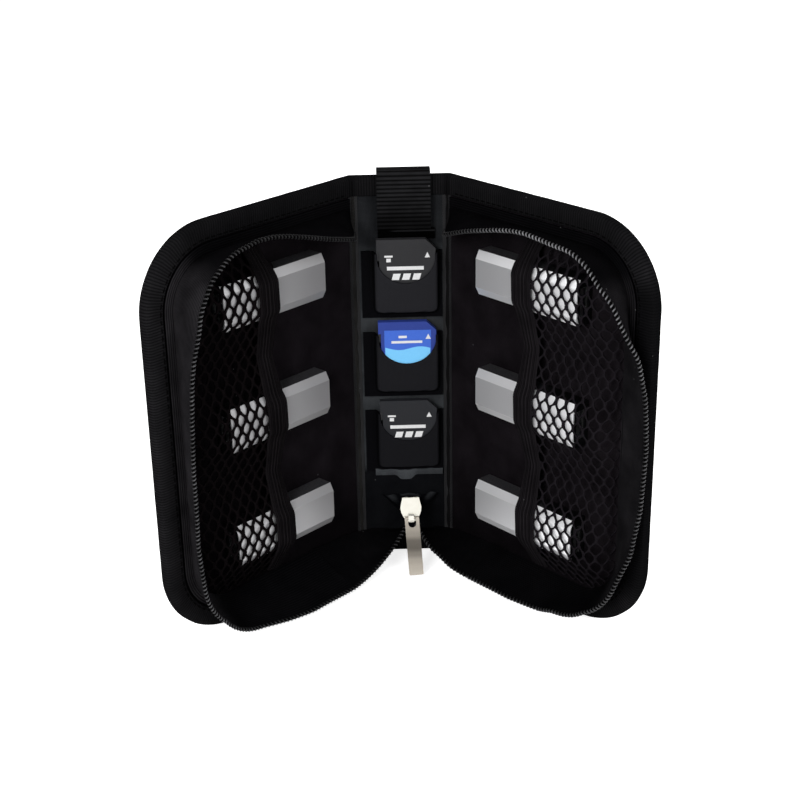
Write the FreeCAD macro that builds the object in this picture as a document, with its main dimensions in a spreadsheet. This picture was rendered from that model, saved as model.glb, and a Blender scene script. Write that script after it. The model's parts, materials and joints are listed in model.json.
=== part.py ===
# Memory card case: a zip-around wallet that stands open like a book on its lower edges.
# Frame: X to the right along the spine, Y away from the opening, Z up.
# The origin is the middle of the spine's lower edge, and the spine's mid plane is Y = 0.
import FreeCAD, Part
import Sketcher
import math
import os

# Driving dimensions in millimetres and degrees, and a few counts and shares.
SIZES = {
    # case as a whole: height, cover from fold line to outer edge, distance between the fold lines
    "case_height": 170.0,
    "cover_width": 109.0,
    "spine_width": 40.0,
    "corner_radius": 32.0,
    "left_open_angle": 46.0,
    "right_open_angle": 49.0,
    # layers of a cover and of the spine
    "fabric_thickness": 1.0,
    "board_thickness": 2.0,
    "lining_thickness": 0.8,
    "binding_width": 8.0,
    "binding_thickness": 0.8,
    # clearances and the overrun that every cut takes past the face it leaves
    "moving_clearance": 0.3,
    "resting_clearance": 0.1,
    "cut_overrun": 1.0,
    # zip: tape wall on each cover and the coil on its rim
    "zip_base_inset": 13.0,
    "zip_rim_inset": 7.0,
    "zip_tape_thickness": 1.0,
    "zip_top_start": 14.0,
    "zip_bottom_start": 31.0,
    "zip_closing_gap": 0.5,
    "splay_reach": 14.0,
    "splay_tilt": 40.0,
    "coil_width": 2.6,
    "coil_height": 2.2,
    "coil_tooth_depth": 1.3,
    "coil_pitch": 2.6,
    "coil_tooth_share": 0.55,
    # memory sticks
    "stick_length": 53.0,
    "stick_height": 18.5,
    "stick_housing_depth": 6.7,
    "stick_plate_depth": 1.8,
    "stick_plate_bevel": 3.4,
    "stick_plate_wall": 0.6,
    "stick_start": 26.0,
    "stick_top_room": 8.85,
    "stick_bottom_room": 11.85,
    # sliding connector of a stick
    "plug_width": 12.0,
    "plug_thickness": 4.5,
    "plug_length": 13.0,
    "plug_carrier_length": 9.0,
    "plug_travel": 12.5,
    "plug_wall": 0.4,
    "plug_mouth_depth": 10.0,
    "plug_recess": 0.4,
    "plug_centre_depth": 4.35,
    "thumb_length": 5.0,
    "thumb_width": 4.0,
    # mesh pocket
    "mesh_start": 53.5,
    "mesh_thickness": 0.5,
    "mesh_side_room": 1.5,
    "mesh_valley_width": 6.0,
    "mesh_valley_lift": 1.5,
    "mesh_foot_gap": 1.2,
    "mesh_column_pitch": 6.4,
    "mesh_row_pitch": 4.5,
    "mesh_hole_width": 4.9,
    "mesh_hole_height": 6.8,
    "mesh_hole_side_share": 0.42,
    "mesh_hem": 1.6,
    "elastic_width": 10.0,
    "elastic_overhang": 4.0,
    "elastic_thickness": 0.9,
    # card pockets on the spine
    "card_width": 24.0,
    "card_length": 32.0,
    "card_thickness": 2.1,
    "card_chamfer": 4.0,
    "card_step": 3.72,
    "card_shift": 2.0,
    "card_top_drop": 56.5,
    "card_foot": 42.7,
    "pocket_gap": 9.9,
    "pocket_wall": 0.6,
    "pocket_side": 2.2,
    "pocket_floor": 1.0,
    "notch_floor": 12.4,
    "hem_strip_height": 3.2,
    "hem_strip_drop": 2.1,
    # lock tab of a card
    "lock_slot_bottom": 20.0,
    "lock_slot_length": 6.6,
    "lock_slot_depth": 1.1,
    "lock_length": 3.8,
    "lock_thickness": 1.5,
    # webbing loop over the spine's top edge
    "loop_width": 22.0,
    "loop_shift": 1.5,
    "loop_hang": 21.5,
    "loop_rise": 2.8,
    "loop_back_drop": 12.0,
    "loop_front_drop": 10.0,
    "loop_bend": 2.4,
    "webbing_thickness": 1.2,
    "webbing_gap": 0.3,
    # zip end at the foot of the spine
    "gusset_half_width": 13.3,
    "gusset_foot": 3.0,
    "gusset_top": 19.0,
    "gusset_top_half": 4.8,
    "gusset_depth": 12.6,
    "gusset_shift": 2.2,
    # slider and pull tab
    "slider_tilt": 24.0,
    "slider_back": 9.6,
    "slider_width": 9.0,
    "slider_mouth_width": 7.2,
    "slider_tail_width": 3.8,
    "slider_tail_rise": 0.7,
    "slider_tail_round": 2.9,
    "slider_side_round": 7.9,
    "slider_length": 10.6,
    "slider_shoulder_share": 0.62,
    "slider_plate": 1.2,
    "slider_channel": 2.2,
    "slider_flange": 1.1,
    "slider_post_width": 2.2,
    "slider_post_length": 3.6,
    "bail_width": 2.4,
    "bail_length": 3.6,
    "bail_height": 3.3,
    "bail_wall": 0.9,
    "bail_tail_gap": 0.2,
    "tab_width": 6.2,
    "tab_thickness": 1.2,
    "tab_length": 24.6,
    "tab_corner": 0.6,
    "tab_lean": 3.4,
    "tab_shift": 0.25,
    "tab_eye_width": 3.4,
    "tab_eye_length": 3.6,
    "tab_bar": 1.2,
}

STICKS_PER_COVER = 3
CARD_POCKETS = 3
SPLAYED_COVERS = ("right",)
CORNER_SHARES = [step / 6 for step in range(1, 7)]
SPLAY_SHARES = [step / 5 for step in range(5)]
SIDES = {"left": -1, "right": 1}

doc = FreeCAD.newDocument("memory_card_case")
sheet = doc.addObject("Spreadsheet::Sheet", "Sizes")
for row, (alias, number) in enumerate(SIZES.items(), start=1):
    sheet.set(f"A{row}", alias)
    sheet.set(f"B{row}", str(number))
    sheet.setAlias(f"B{row}", alias)
doc.recompute()


class Size:
    """A size that knows its value and the expression that ties it to the sheet."""

    def __init__(self, value, text):
        self.value = value
        self.text = text

    def __add__(self, other):
        other = as_size(other)
        return Size(self.value + other.value, f"({self.text} + {other.text})")

    def __sub__(self, other):
        other = as_size(other)
        return Size(self.value - other.value, f"({self.text} - {other.text})")

    def __mul__(self, other):
        other = as_size(other)
        return Size(self.value * other.value, f"({self.text} * {other.text})")

    def __truediv__(self, other):
        other = as_size(other)
        return Size(self.value / other.value, f"({self.text} / {other.text})")

    def __neg__(self):
        return Size(-self.value, f"(0 - {self.text})")


def as_size(thing):
    """A plain number as a size, and a size as itself."""
    return thing if isinstance(thing, Size) else Size(float(thing), repr(float(thing)))


def cosine(angle):
    return Size(math.cos(math.radians(angle.value)), f"cos({angle.text})")


def sine(angle):
    return Size(math.sin(math.radians(angle.value)), f"sin({angle.text})")


def tangent(angle):
    return Size(math.tan(math.radians(angle.value)), f"tan({angle.text})")


def slope_angle(rise_over_run):
    return Size(math.degrees(math.atan(rise_over_run.value)), f"atan({rise_over_run.text})")


class Sheet:
    """The sheet's cells by name, as sizes."""

    def __getattr__(self, alias):
        return Size(float(sheet.get(alias)), f"Sizes.{alias}")


d = Sheet()
ZERO = as_size(0)
HALF_CIRCLE = "half circle"

# Places that several pieces share, worked out once.
# n is the distance from a panel's mid plane towards the inside of the case.
half_panel = (d.fabric_thickness + d.board_thickness + d.lining_thickness) / 2
outer_face = -half_panel
fabric_top = outer_face + d.fabric_thickness
board_top = fabric_top + d.board_thickness
inner_face = half_panel
half_bound = half_panel + d.binding_thickness
cover_start = half_bound + d.moving_clearance
spine_half = d.spine_width / 2
spine_edge = spine_half - half_bound - d.resting_clearance

coil_top = spine_half - d.zip_closing_gap / 2
tape_top = coil_top - d.coil_height

stick_back = inner_face + d.moving_clearance
stick_depth = d.stick_housing_depth + d.stick_plate_depth
stick_front = stick_back + stick_depth
stick_end = d.stick_start + d.stick_length
mesh_low = stick_front + d.moving_clearance
mesh_turn = stick_end + d.plug_travel + d.moving_clearance
mesh_edge = d.zip_base_inset + d.zip_tape_thickness + d.mesh_foot_gap

# The sticks share the height between the mesh pocket's hems evenly.
highest_stick = d.case_height - mesh_edge - d.stick_top_room - d.stick_height / 2
lowest_stick = mesh_edge + d.stick_bottom_room + d.stick_height / 2
stick_pitch = (highest_stick - lowest_stick) / (STICKS_PER_COVER - 1)

# The cards share the spine's height evenly, and lean so that each one passes the pocket above it.
pocket_pitch = (d.case_height - d.card_top_drop - d.card_foot) / (CARD_POCKETS - 1)
pocket_height = pocket_pitch - d.pocket_gap
card_tilt = slope_angle(d.card_step / pocket_pitch)

pieces = {}


def new_body(label):
    """An empty body that carries one piece of the case."""
    body = doc.addObject("PartDesign::Body", label)
    body.Label = label
    pieces[label] = body
    return body


def place(piece, base, axis=None, angle=None):
    """Stand a piece at a point, turned about an axis, with every number tied to the sheet."""
    rotation = FreeCAD.Rotation()
    if axis is not None:
        rotation = FreeCAD.Rotation(FreeCAD.Vector(*axis), angle.value)
    where = FreeCAD.Vector(*[part.value for part in base])
    piece.Placement = FreeCAD.Placement(where, rotation)
    for letter, part in zip("xyz", base):
        piece.setExpression(f"Placement.Base.{letter}", part.text)
    if axis is not None:
        piece.setExpression("Placement.Rotation.Angle", angle.text)


def place_on_cover(piece, side):
    """Turn a piece that was drawn on a flat cover about that cover's fold line."""
    angle = d.right_open_angle if side > 0 else d.left_open_angle
    place(piece, (spine_half * side, ZERO, ZERO), (0, 0, -side), angle)


def arc_between(start, end, radius, turn):
    """The circle arc from start to end, turning left for +1 and right for -1, as a sketch holds it."""
    chord = end - start
    middle = start + chord * 0.5
    reach = math.sqrt(max(radius ** 2 - (chord.Length / 2) ** 2, 0.0))
    across = FreeCAD.Vector(-chord.y, chord.x, 0).normalize()
    centre = middle + across * reach * turn
    first, last = (start, end) if turn > 0 else (end, start)
    from_angle = math.atan2(first.y - centre.y, first.x - centre.x)
    to_angle = math.atan2(last.y - centre.y, last.x - centre.x)
    circle = Part.Circle(centre, FreeCAD.Vector(0, 0, 1), radius)
    return Part.ArcOfCircle(circle, from_angle, to_angle)


def draw(body, role, loops, offset):
    """A sketch on one of the body's own planes, of closed loops of corners tied to the sheet.

    A corner is (x, y) at the end of a straight edge, or (x, y, radius, turn) at the end of an arc,
    whose radius is HALF_CIRCLE where the arc is half a circle.
    """
    sketch = body.newObject("Sketcher::SketchObject", body.Label + "_sketch")
    plane = [feature for feature in body.Origin.OriginFeatures if feature.Role == role][0]
    sketch.AttachmentSupport = [(plane, "")]
    sketch.MapMode = "FlatFace"
    sketch.AttachmentOffset = FreeCAD.Placement(FreeCAD.Vector(0, 0, offset.value), FreeCAD.Rotation())
    sketch.setExpression("AttachmentOffset.Base.z", offset.text)
    for loop in loops:
        add_loop(sketch, loop)
    return sketch


def add_loop(sketch, loop):
    """One closed loop: its edges, then the constraints that hold its corners and radii."""
    points = [FreeCAD.Vector(corner[0].value, corner[1].value, 0) for corner in loop]
    ends = []
    for index, corner in enumerate(loop):
        start, end = points[index - 1], points[index]
        if len(corner) == 2:
            edge = sketch.addGeometry(Part.LineSegment(start, end), False)
            ends.append((edge, 1, 2))
            continue
        radius, turn = corner[2], corner[3]
        reach = (end - start).Length / 2 if radius is HALF_CIRCLE else radius.value
        edge = sketch.addGeometry(arc_between(start, end, reach, turn), False)
        ends.append((edge, 1, 2) if turn > 0 else (edge, 2, 1))
    for index, (edge, first, last) in enumerate(ends):
        before, _, before_last = ends[index - 1]
        sketch.addConstraint(Sketcher.Constraint("Coincident", before, before_last, edge, first))
    for corner, (edge, first, last) in zip(loop, ends):
        for kind, part in (("DistanceX", corner[0]), ("DistanceY", corner[1])):
            number = sketch.addConstraint(Sketcher.Constraint(kind, -1, 1, edge, last, part.value))
            sketch.setExpression(f"Constraints[{number}]", part.text)
        if len(corner) > 2:
            hold_arc(sketch, edge, loop[loop.index(corner) - 1], corner)


def hold_arc(sketch, edge, before, corner):
    """An arc is held by its radius, and half a circle by the middle of the line between its ends."""
    if corner[2] is not HALF_CIRCLE:
        kind, held = ("Radius", edge), corner[2]
    elif abs(corner[0].value - before[0].value) > abs(corner[1].value - before[1].value):
        kind, held = ("DistanceY", -1, 1, edge, 3), (corner[1] + before[1]) / 2
    else:
        kind, held = ("DistanceX", -1, 1, edge, 3), (corner[0] + before[0]) / 2
    number = sketch.addConstraint(Sketcher.Constraint(*kind, held.value))
    sketch.setExpression(f"Constraints[{number}]", held.text)


def pad(body, role, loops, start, depth):
    """Grow the loops from start, along the plane's normal, by depth."""
    feature = body.newObject("PartDesign::Pad", body.Label + "_pad")
    feature.Profile = draw(body, role, loops, start)
    feature.Length = depth.value
    feature.setExpression("Length", depth.text)
    return feature


def cut(body, role, loops, top, depth):
    """Cut the loops out from top, against the plane's normal, by depth."""
    doc.recompute()
    feature = body.newObject("PartDesign::Pocket", body.Label + "_cut")
    feature.Profile = draw(body, role, loops, top)
    feature.Length = depth.value
    feature.setExpression("Length", depth.text)
    return feature


def rectangle(low_x, high_x, low_y, high_y):
    return [(high_x, low_y), (high_x, high_y), (low_x, high_y), (low_x, low_y)]


def mirrored(loop, side):
    """The loop as drawn for the right side, or its mirror image for the left."""
    corners = []
    for corner in loop:
        if len(corner) == 2:
            corners.append((corner[0] * side, corner[1]))
        else:
            corners.append((corner[0] * side, corner[1], corner[2], corner[3] * side))
    return corners


def span(side, near, far):
    """The lower end and the length of a run from near to far along a cover."""
    return (near if side > 0 else -far), far - near


def cover_outline(start, inset):
    """A cover's outline, in from the outer edge by inset, with its two outer corners rounded."""
    right = d.cover_width - inset
    top = d.case_height - inset
    corner_x = d.cover_width - d.corner_radius
    corner_top = d.case_height - d.corner_radius
    radius = d.corner_radius - inset
    return [
        (corner_x, inset),
        (right, d.corner_radius, radius, 1),
        (right, corner_top),
        (corner_x, top, radius, 1),
        (start, top),
        (start, inset),
    ]


def cover_band(top_start, bottom_start, inset, width):
    """A band along a cover's three free edges, between two insets, open at the fold."""
    outside = cover_outline(bottom_start, inset)
    inside = cover_outline(bottom_start, inset + width)
    forward = outside[:4] + [(top_start, outside[4][1])]
    back = [(top_start, inside[4][1]), inside[3][:2]]
    back += [(inside[2][0], inside[2][1], inside[3][2], -1), inside[1][:2]]
    back += [(inside[0][0], inside[0][1], inside[1][2], -1), inside[5], outside[5]]
    return forward + back


# Covers: a stiff board between an outer fabric and a lining, bound along the three free edges.
def make_cover_layers(name, side):
    layers = (
        ("outer_fabric", outer_face, d.fabric_thickness),
        ("board", fabric_top, d.board_thickness),
        ("lining", board_top, d.lining_thickness),
    )
    for layer, start, depth in layers:
        body = new_body(f"{name}_{layer}")
        outline = cover_outline(cover_start, d.binding_thickness)
        pad(body, "XZ_Plane", [mirrored(outline, side)], start, depth)
        place_on_cover(body, side)
    binding = new_body(f"{name}_binding")
    band = cover_band(cover_start, cover_start, ZERO, d.binding_width)
    pad(binding, "XZ_Plane", [mirrored(band, side)], -half_bound, half_bound * 2)
    groove = cover_outline(cover_start - d.cut_overrun, d.binding_thickness)
    cut(binding, "XZ_Plane", [mirrored(groove, side)], inner_face, half_panel * 2)
    place_on_cover(binding, side)


# Zip tape: a woven wall round each cover that leans outwards up to the rim that carries the coil.
def make_zip_tape(name, side):
    body = new_body(f"{name}_zip_tape")
    sketches = []
    for inset, height in ((d.zip_base_inset, inner_face), (d.zip_rim_inset, tape_top)):
        band = cover_band(d.zip_top_start, d.zip_bottom_start, inset, d.zip_tape_thickness)
        sketches.append(draw(body, "XZ_Plane", [mirrored(band, side)], height))
    loft = body.newObject("PartDesign::AdditiveLoft", f"{name}_zip_tape_loft")
    loft.Profile = sketches[0]
    loft.Sections = sketches[1:]
    loft.Ruled = True
    place_on_cover(body, side)


class Rail:
    """The line that a zip coil follows in its own plane: straight runs and arcs, met end to end."""

    def __init__(self, runs):
        self.runs = runs
        self.length = sum(run["length"] for run in runs)

    def at(self, distance, offset):
        """The point that lies offset to the right of the line, at a distance along it."""
        for run in self.runs:
            if distance <= run["length"] or run is self.runs[-1]:
                return run["at"](distance / run["length"], offset)
            distance -= run["length"]

    def edges(self, offset):
        """The line's own edges, moved sideways by offset."""
        return [run["edge"](offset) for run in self.runs]


def straight_run(start, end):
    along = (end - start).normalize()
    right = FreeCAD.Vector(along.z, 0, -along.x)

    def at(share, offset):
        return start + (end - start) * share + right * offset

    def edge(offset):
        return Part.makeLine(at(0, offset), at(1, offset))

    return {"length": (end - start).Length, "at": at, "edge": edge}


def corner_run(centre, radius, from_angle, to_angle):
    """A turn about a centre, to the right where its angle falls and to the left where it grows."""
    turn = math.radians(to_angle - from_angle)
    inwards = -1 if turn < 0 else 1

    def at(share, offset):
        angle = math.radians(from_angle) + turn * share
        reach = radius + inwards * offset
        return centre + FreeCAD.Vector(math.cos(angle), 0, math.sin(angle)) * reach

    def edge(offset):
        return Part.Arc(at(0, offset), at(0.5, offset), at(1, offset)).toShape()

    return {"length": abs(turn) * radius, "at": at, "edge": edge}


def toothed_strip(rail, smooth_offset):
    """A strip along a rail, smooth on its left edge and cut into even teeth on its right edge."""
    pitch = rail.length / round(rail.length / d.coil_pitch.value)
    tooth = pitch * d.coil_tooth_share.value
    tip = smooth_offset + d.coil_width.value
    root = tip - d.coil_tooth_depth.value
    points = []
    for index in range(round(rail.length / pitch)):
        start = index * pitch
        points += [rail.at(start, tip), rail.at(start + tooth, tip)]
        points += [rail.at(start + tooth, root), rail.at(start + pitch, root)]
    smooth = rail.edges(smooth_offset)
    points.append(rail.at(rail.length, smooth_offset))
    points.insert(0, rail.at(0, smooth_offset))
    teeth = Part.makePolygon(points).Edges
    outline = Part.Wire(Part.__sortEdges__(smooth + teeth))
    return Part.Face(outline).extrude(FreeCAD.Vector(0, -d.coil_height.value, 0))


def add_shape(label, shape):
    """A piece whose shape is worked out above from the sheet's sizes."""
    feature = doc.addObject("Part::Feature", label)
    feature.Label = label
    feature.Shape = shape
    pieces[label] = feature
    return feature


def edge_runs(inset, depth):
    """The runs round a cover's free edges at an inset: top, corner, outer side, corner, bottom."""
    width, height, corner = d.cover_width.value, d.case_height.value, d.corner_radius.value
    inset = inset.value

    def spot(x, z):
        return FreeCAD.Vector(x, -depth.value, z)

    radius = corner - inset
    return [
        straight_run(spot(d.zip_top_start.value, height - inset), spot(width - corner, height - inset)),
        corner_run(spot(width - corner, height - corner), radius, 90, 0),
        straight_run(spot(width - inset, height - corner), spot(width - inset, corner)),
        corner_run(spot(width - corner, corner), radius, 0, -90),
        straight_run(spot(width - corner, inset), spot(d.zip_bottom_start.value, inset)),
    ]


# The coil's smooth edge runs at this inset, and its teeth face the inside of the case.
coil_inset = d.zip_rim_inset + d.zip_tape_thickness / 2 - d.coil_width / 2


def splayed_runs():
    """The coil's outer side where the wall is splayed: three arcs that swing out and back."""
    side_half = d.case_height.value / 2 - d.corner_radius.value
    swing = 2 * math.atan(d.splay_reach.value / side_half)
    radius = side_half / (2 * math.sin(swing))
    edge = (d.cover_width - coil_inset).value
    middle = d.case_height.value / 2
    turn = math.degrees(swing)

    def spot(x, z):
        return FreeCAD.Vector(x, -tape_top.value, z)

    return [
        corner_run(spot(edge + radius, middle + side_half), radius, 180, 180 + turn),
        corner_run(spot(edge + radius - 2 * radius * math.cos(swing), middle), radius, turn, -turn),
        corner_run(spot(edge + radius, middle - side_half), radius, 180 - turn, 180),
    ]


def splay_turn():
    """How the splayed side sinks: a turn about the line of the coil's tooth tips."""
    tips = (d.cover_width - coil_inset - d.coil_width).value
    hinge = FreeCAD.Vector(tips, -tape_top.value, 0)
    turn = FreeCAD.Rotation(FreeCAD.Vector(0, 0, 1), d.splay_tilt.value)
    return FreeCAD.Placement(FreeCAD.Vector(), turn, hinge)


# Splayed zip tape: the same wall, in flat facets, with its outer side swung out over the binding.
def make_splayed_tape(name, side):
    rim, foot = edge_runs(coil_inset, tape_top), edge_runs(d.zip_base_inset, inner_face)
    sink = splay_turn()
    rim_out = (d.zip_rim_inset - coil_inset).value
    wall = d.zip_tape_thickness.value
    sections = []

    def add_section(rim_run, foot_run, rim_share, foot_share, sunk):
        section = [foot_run["at"](foot_share, wall), foot_run["at"](foot_share, 0)]
        for offset in (rim_out, rim_out + wall):
            point = rim_run["at"](rim_share, offset)
            section.append(sink.multVec(point) if sunk else point)
        sections.append(section)

    add_section(rim[0], foot[0], 0, 0, False)
    add_section(rim[1], foot[1], 0, 0, False)
    for share in CORNER_SHARES[:-1]:
        add_section(rim[1], foot[1], share, share, False)
    high = foot[2]["at"](0, 0).z
    swung = splayed_runs()
    for run in swung:
        for share in SPLAY_SHARES:
            drop = high - run["at"](share, 0).z
            add_section(run, foot[2], share, drop / foot[2]["length"], True)
    add_section(swung[-1], foot[2], 1, 1, True)
    for share in CORNER_SHARES:
        add_section(rim[3], foot[3], share, share, False)
    add_section(rim[4], foot[4], 1, 1, False)
    shape = faceted(sections)
    if side < 0:
        shape = shape.mirror(FreeCAD.Vector(), FreeCAD.Vector(1, 0, 0))
    place_on_cover(add_shape(f"{name}_zip_tape", shape), side)


def faceted(sections):
    """A solid of flat triangles through a row of four-cornered sections."""
    corners = []
    for first, last in zip(sections, sections[1:]):
        for index in range(4):
            after = (index + 1) % 4
            corners.append((first[index], first[after], last[after]))
            corners.append((first[index], last[after], last[index]))
    for a, b, c, e in (sections[0][::-1], sections[-1]):
        corners += [(a, b, c), (a, c, e)]
    faces = [Part.Face(Part.makePolygon([a, b, c, a])) for a, b, c in corners]
    solid = Part.Solid(Part.Shell(faces))
    if solid.Volume < 0:
        solid.reverse()
    return solid


# Zip coil: the row of teeth along the tape's rim, facing the inside of the case.
def make_zip_coil(name, side, splayed):
    runs = edge_runs(coil_inset, tape_top)
    if splayed:
        strip = toothed_strip(Rail(splayed_runs()), 0.0)
        strip.Placement = splay_turn()
        for end_runs in (runs[:2], runs[3:]):
            strip = strip.fuse(toothed_strip(Rail(end_runs), 0.0))
    else:
        strip = toothed_strip(Rail(runs), 0.0)
    if side < 0:
        strip = strip.mirror(FreeCAD.Vector(), FreeCAD.Vector(1, 0, 0))
    place_on_cover(add_shape(f"{name}_zip_coil", strip), side)


# Memory sticks: a dark housing with a bevelled silver plate, and a connector that slides out.
def stick_middle(index):
    return highest_stick - stick_pitch * index


def make_stick(name, side, index):
    label = f"{name}_stick_{index + 1}"
    middle = stick_middle(index)
    half = d.stick_height / 2
    joint = stick_back + d.stick_housing_depth
    start, length = span(side, d.stick_start, stick_end)

    def section(pairs):
        return [(-depth, middle + rise) for depth, rise in pairs]

    core_half = half - d.stick_plate_wall
    face_half = half - d.stick_plate_bevel
    core_top = stick_front - d.stick_plate_wall
    core_face = face_half - d.stick_plate_wall / 2
    housing = new_body(f"{label}_housing")
    outline = section([
        (stick_back, -half), (joint, -half), (joint, -core_half), (core_top, -core_face),
        (core_top, core_face), (joint, core_half), (joint, half), (stick_back, half),
    ])
    pad(housing, "YZ_Plane", [outline], start, length)

    plug_half = d.plug_width / 2
    plug_low = stick_back + d.plug_centre_depth - d.plug_thickness / 2
    plug_high = plug_low + d.plug_thickness
    room = d.resting_clearance
    carriage_length = d.plug_length + d.plug_carrier_length
    plug_far = stick_end - d.plug_recess
    plug_near = plug_far - carriage_length
    bay_half = plug_half + room
    bay = rectangle(-(plug_high + room), -(plug_low - room), middle - bay_half, middle + bay_half)
    bay_start, bay_length = span(side, plug_near - room, stick_end + d.cut_overrun)
    cut(housing, "YZ_Plane", [bay], bay_start + bay_length, bay_length)
    slot_half = d.thumb_width / 2
    slot = rectangle(
        -plug_low, -(stick_back - d.cut_overrun), middle - slot_half - room, middle + slot_half + room)
    slot_start, slot_length = span(
        side, plug_near - room, plug_near + d.thumb_length + d.plug_travel + room)
    cut(housing, "YZ_Plane", [slot], slot_start + slot_length, slot_length)
    place_on_cover(housing, side)

    plate = new_body(f"{label}_plate")
    outline = section([
        (joint, -half), (stick_front, -face_half), (stick_front, face_half), (joint, half),
        (joint, core_half), (core_top, core_face), (core_top, -core_face), (joint, -core_half),
    ])
    pad(plate, "YZ_Plane", [outline], start, length)
    place_on_cover(plate, side)

    connector = new_body(f"{label}_connector")
    block = rectangle(-plug_high, -plug_low, middle - plug_half, middle + plug_half)
    block_start, block_length = span(side, plug_near, plug_far)
    pad(connector, "YZ_Plane", [block], block_start, block_length)
    mouth_half = plug_half - d.plug_wall
    tongue = plug_low + d.plug_thickness / 2
    mouth = rectangle(-tongue, -(plug_low + d.plug_wall), middle - mouth_half, middle + mouth_half)
    mouth_start, mouth_length = span(side, plug_far - d.plug_mouth_depth, plug_far + d.cut_overrun)
    cut(connector, "YZ_Plane", [mouth], mouth_start + mouth_length, mouth_length)
    doc.recompute()
    thumb = rectangle(-plug_low, -(stick_back + room), middle - slot_half, middle + slot_half)
    thumb_start, thumb_length = span(side, plug_near, plug_near + d.thumb_length)
    pad(connector, "YZ_Plane", [thumb], thumb_start, thumb_length)
    place_on_cover(connector, side)


# Mesh pocket: one net that rises over each stick and is drawn down to the lining between them.
def mesh_profile(lift):
    """The net's underside across the sticks, bottom to top, as (height, distance from mid plane)."""
    rise = d.stick_height / 2 + d.mesh_side_room
    valley = inner_face + d.mesh_valley_lift + lift
    crest = mesh_low + lift
    foot = inner_face + d.resting_clearance + lift
    half = d.mesh_valley_width / 2
    points = [(mesh_edge, foot)]
    for index in reversed(range(STICKS_PER_COVER)):
        middle = stick_middle(index)
        points += [(middle - rise, crest), (middle + rise, crest)]
        if index:
            half_way = middle + stick_pitch / 2
            points += [(half_way - half, valley), (half_way + half, valley)]
    points.append((d.case_height - mesh_edge, foot))
    return points


def swept_profile(lower, upper, start, length):
    """The space between two profiles, carried along the cover from start."""
    corners = [FreeCAD.Vector(start, -n.value, z.value) for z, n in lower + upper[::-1]]
    face = Part.Face(Part.makePolygon(corners + corners[:1]))
    return face.extrude(FreeCAD.Vector(length, 0, 0))


def mesh_hole(x, z):
    """A six-sided gap of the net, pointed at its top and bottom, as a tool that cuts through it."""
    half_width = d.mesh_hole_width.value / 2
    half_height = d.mesh_hole_height.value / 2
    side = half_height * d.mesh_hole_side_share.value
    level = -(mesh_low + d.mesh_thickness + d.cut_overrun).value
    outline = [
        (0, half_height), (half_width, side), (half_width, -side),
        (0, -half_height), (-half_width, -side), (-half_width, side),
    ]
    corners = [FreeCAD.Vector(x + dx, level, z + dz) for dx, dz in outline]
    face = Part.Face(Part.makePolygon(corners + corners[:1]))
    return face.extrude(FreeCAD.Vector(0, -level - inner_face.value, 0))


def mesh_holes(room):
    """Staggered rows of gaps over the net, clear of its hems, the elastic and the rounded corners."""
    hem = d.mesh_hem.value
    half_width = d.mesh_hole_width.value / 2
    half_height = d.mesh_hole_height.value / 2
    pitch, row_pitch = d.mesh_column_pitch.value, d.mesh_row_pitch.value
    first = (d.mesh_start + d.elastic_width - d.elastic_overhang).value + hem + half_width
    tallest = d.case_height.value / 2 - mesh_edge.value - hem - half_height
    rows = 2 * int(tallest // row_pitch) + 1
    holes = []
    for row in range(rows):
        x = first + pitch / 2 * (row % 2)
        z = d.case_height.value / 2 + (row - rows // 2) * row_pitch
        while x + half_width + hem <= mesh_turn.value:
            if inside_corner(x + half_width, z, half_height, room + hem):
                holes.append(mesh_hole(x, z))
            x += pitch
    return holes


def make_mesh_net(name, side):
    thickness = d.mesh_thickness.value
    lower, upper = mesh_profile(ZERO), mesh_profile(d.mesh_thickness)
    start, turn = d.mesh_start.value, mesh_turn.value
    roof = swept_profile(lower, upper, start, turn + thickness - start)
    base = [(lower[0][0], inner_face), (lower[-1][0], inner_face)]
    wall = swept_profile(base, lower, turn, thickness)
    room = (d.zip_base_inset + d.zip_tape_thickness + d.moving_clearance).value
    bounds = rounded_prism(room, inner_face.value, coil_top.value)
    holes = mesh_holes(room)
    net = roof.fuse(wall).common(bounds).cut(Part.makeCompound(holes)).removeSplitter()
    if len(net.Solids) != 1:
        raise RuntimeError(f"{name} mesh net is in {len(net.Solids)} pieces")
    net = net.Solids[0]
    if side < 0:
        net = net.mirror(FreeCAD.Vector(), FreeCAD.Vector(1, 0, 0))
    place_on_cover(add_shape(f"{name}_mesh_net", net), side)
    print(f"{name} mesh net: {len(holes)} gaps")


# Elastic: a woven band along the pocket's mouth that follows the net over the sticks.
def make_mesh_elastic(name, side):
    body = new_body(f"{name}_mesh_elastic")
    lower = mesh_profile(d.mesh_thickness)
    upper = mesh_profile(d.mesh_thickness + d.elastic_thickness)
    band = [(-n, z) for z, n in lower + upper[::-1]]
    near = d.mesh_start - d.elastic_overhang
    start, width = span(side, near, near + d.elastic_width)
    pad(body, "YZ_Plane", [band], start, width)
    place_on_cover(body, side)


def inside_corner(x, z, half_height, inset):
    """Whether a gap that reaches x and stands half_height about z stays clear of the rounded corners."""
    corner = d.corner_radius.value
    centre_x = d.cover_width.value - corner
    reach = corner - inset
    for centre_z, end in ((corner, z - half_height), (d.case_height.value - corner, z + half_height)):
        beyond = (centre_z - end) if centre_z == corner else (end - centre_z)
        if x > centre_x and beyond > 0 and math.hypot(x - centre_x, beyond) > reach:
            return False
    return True


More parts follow.
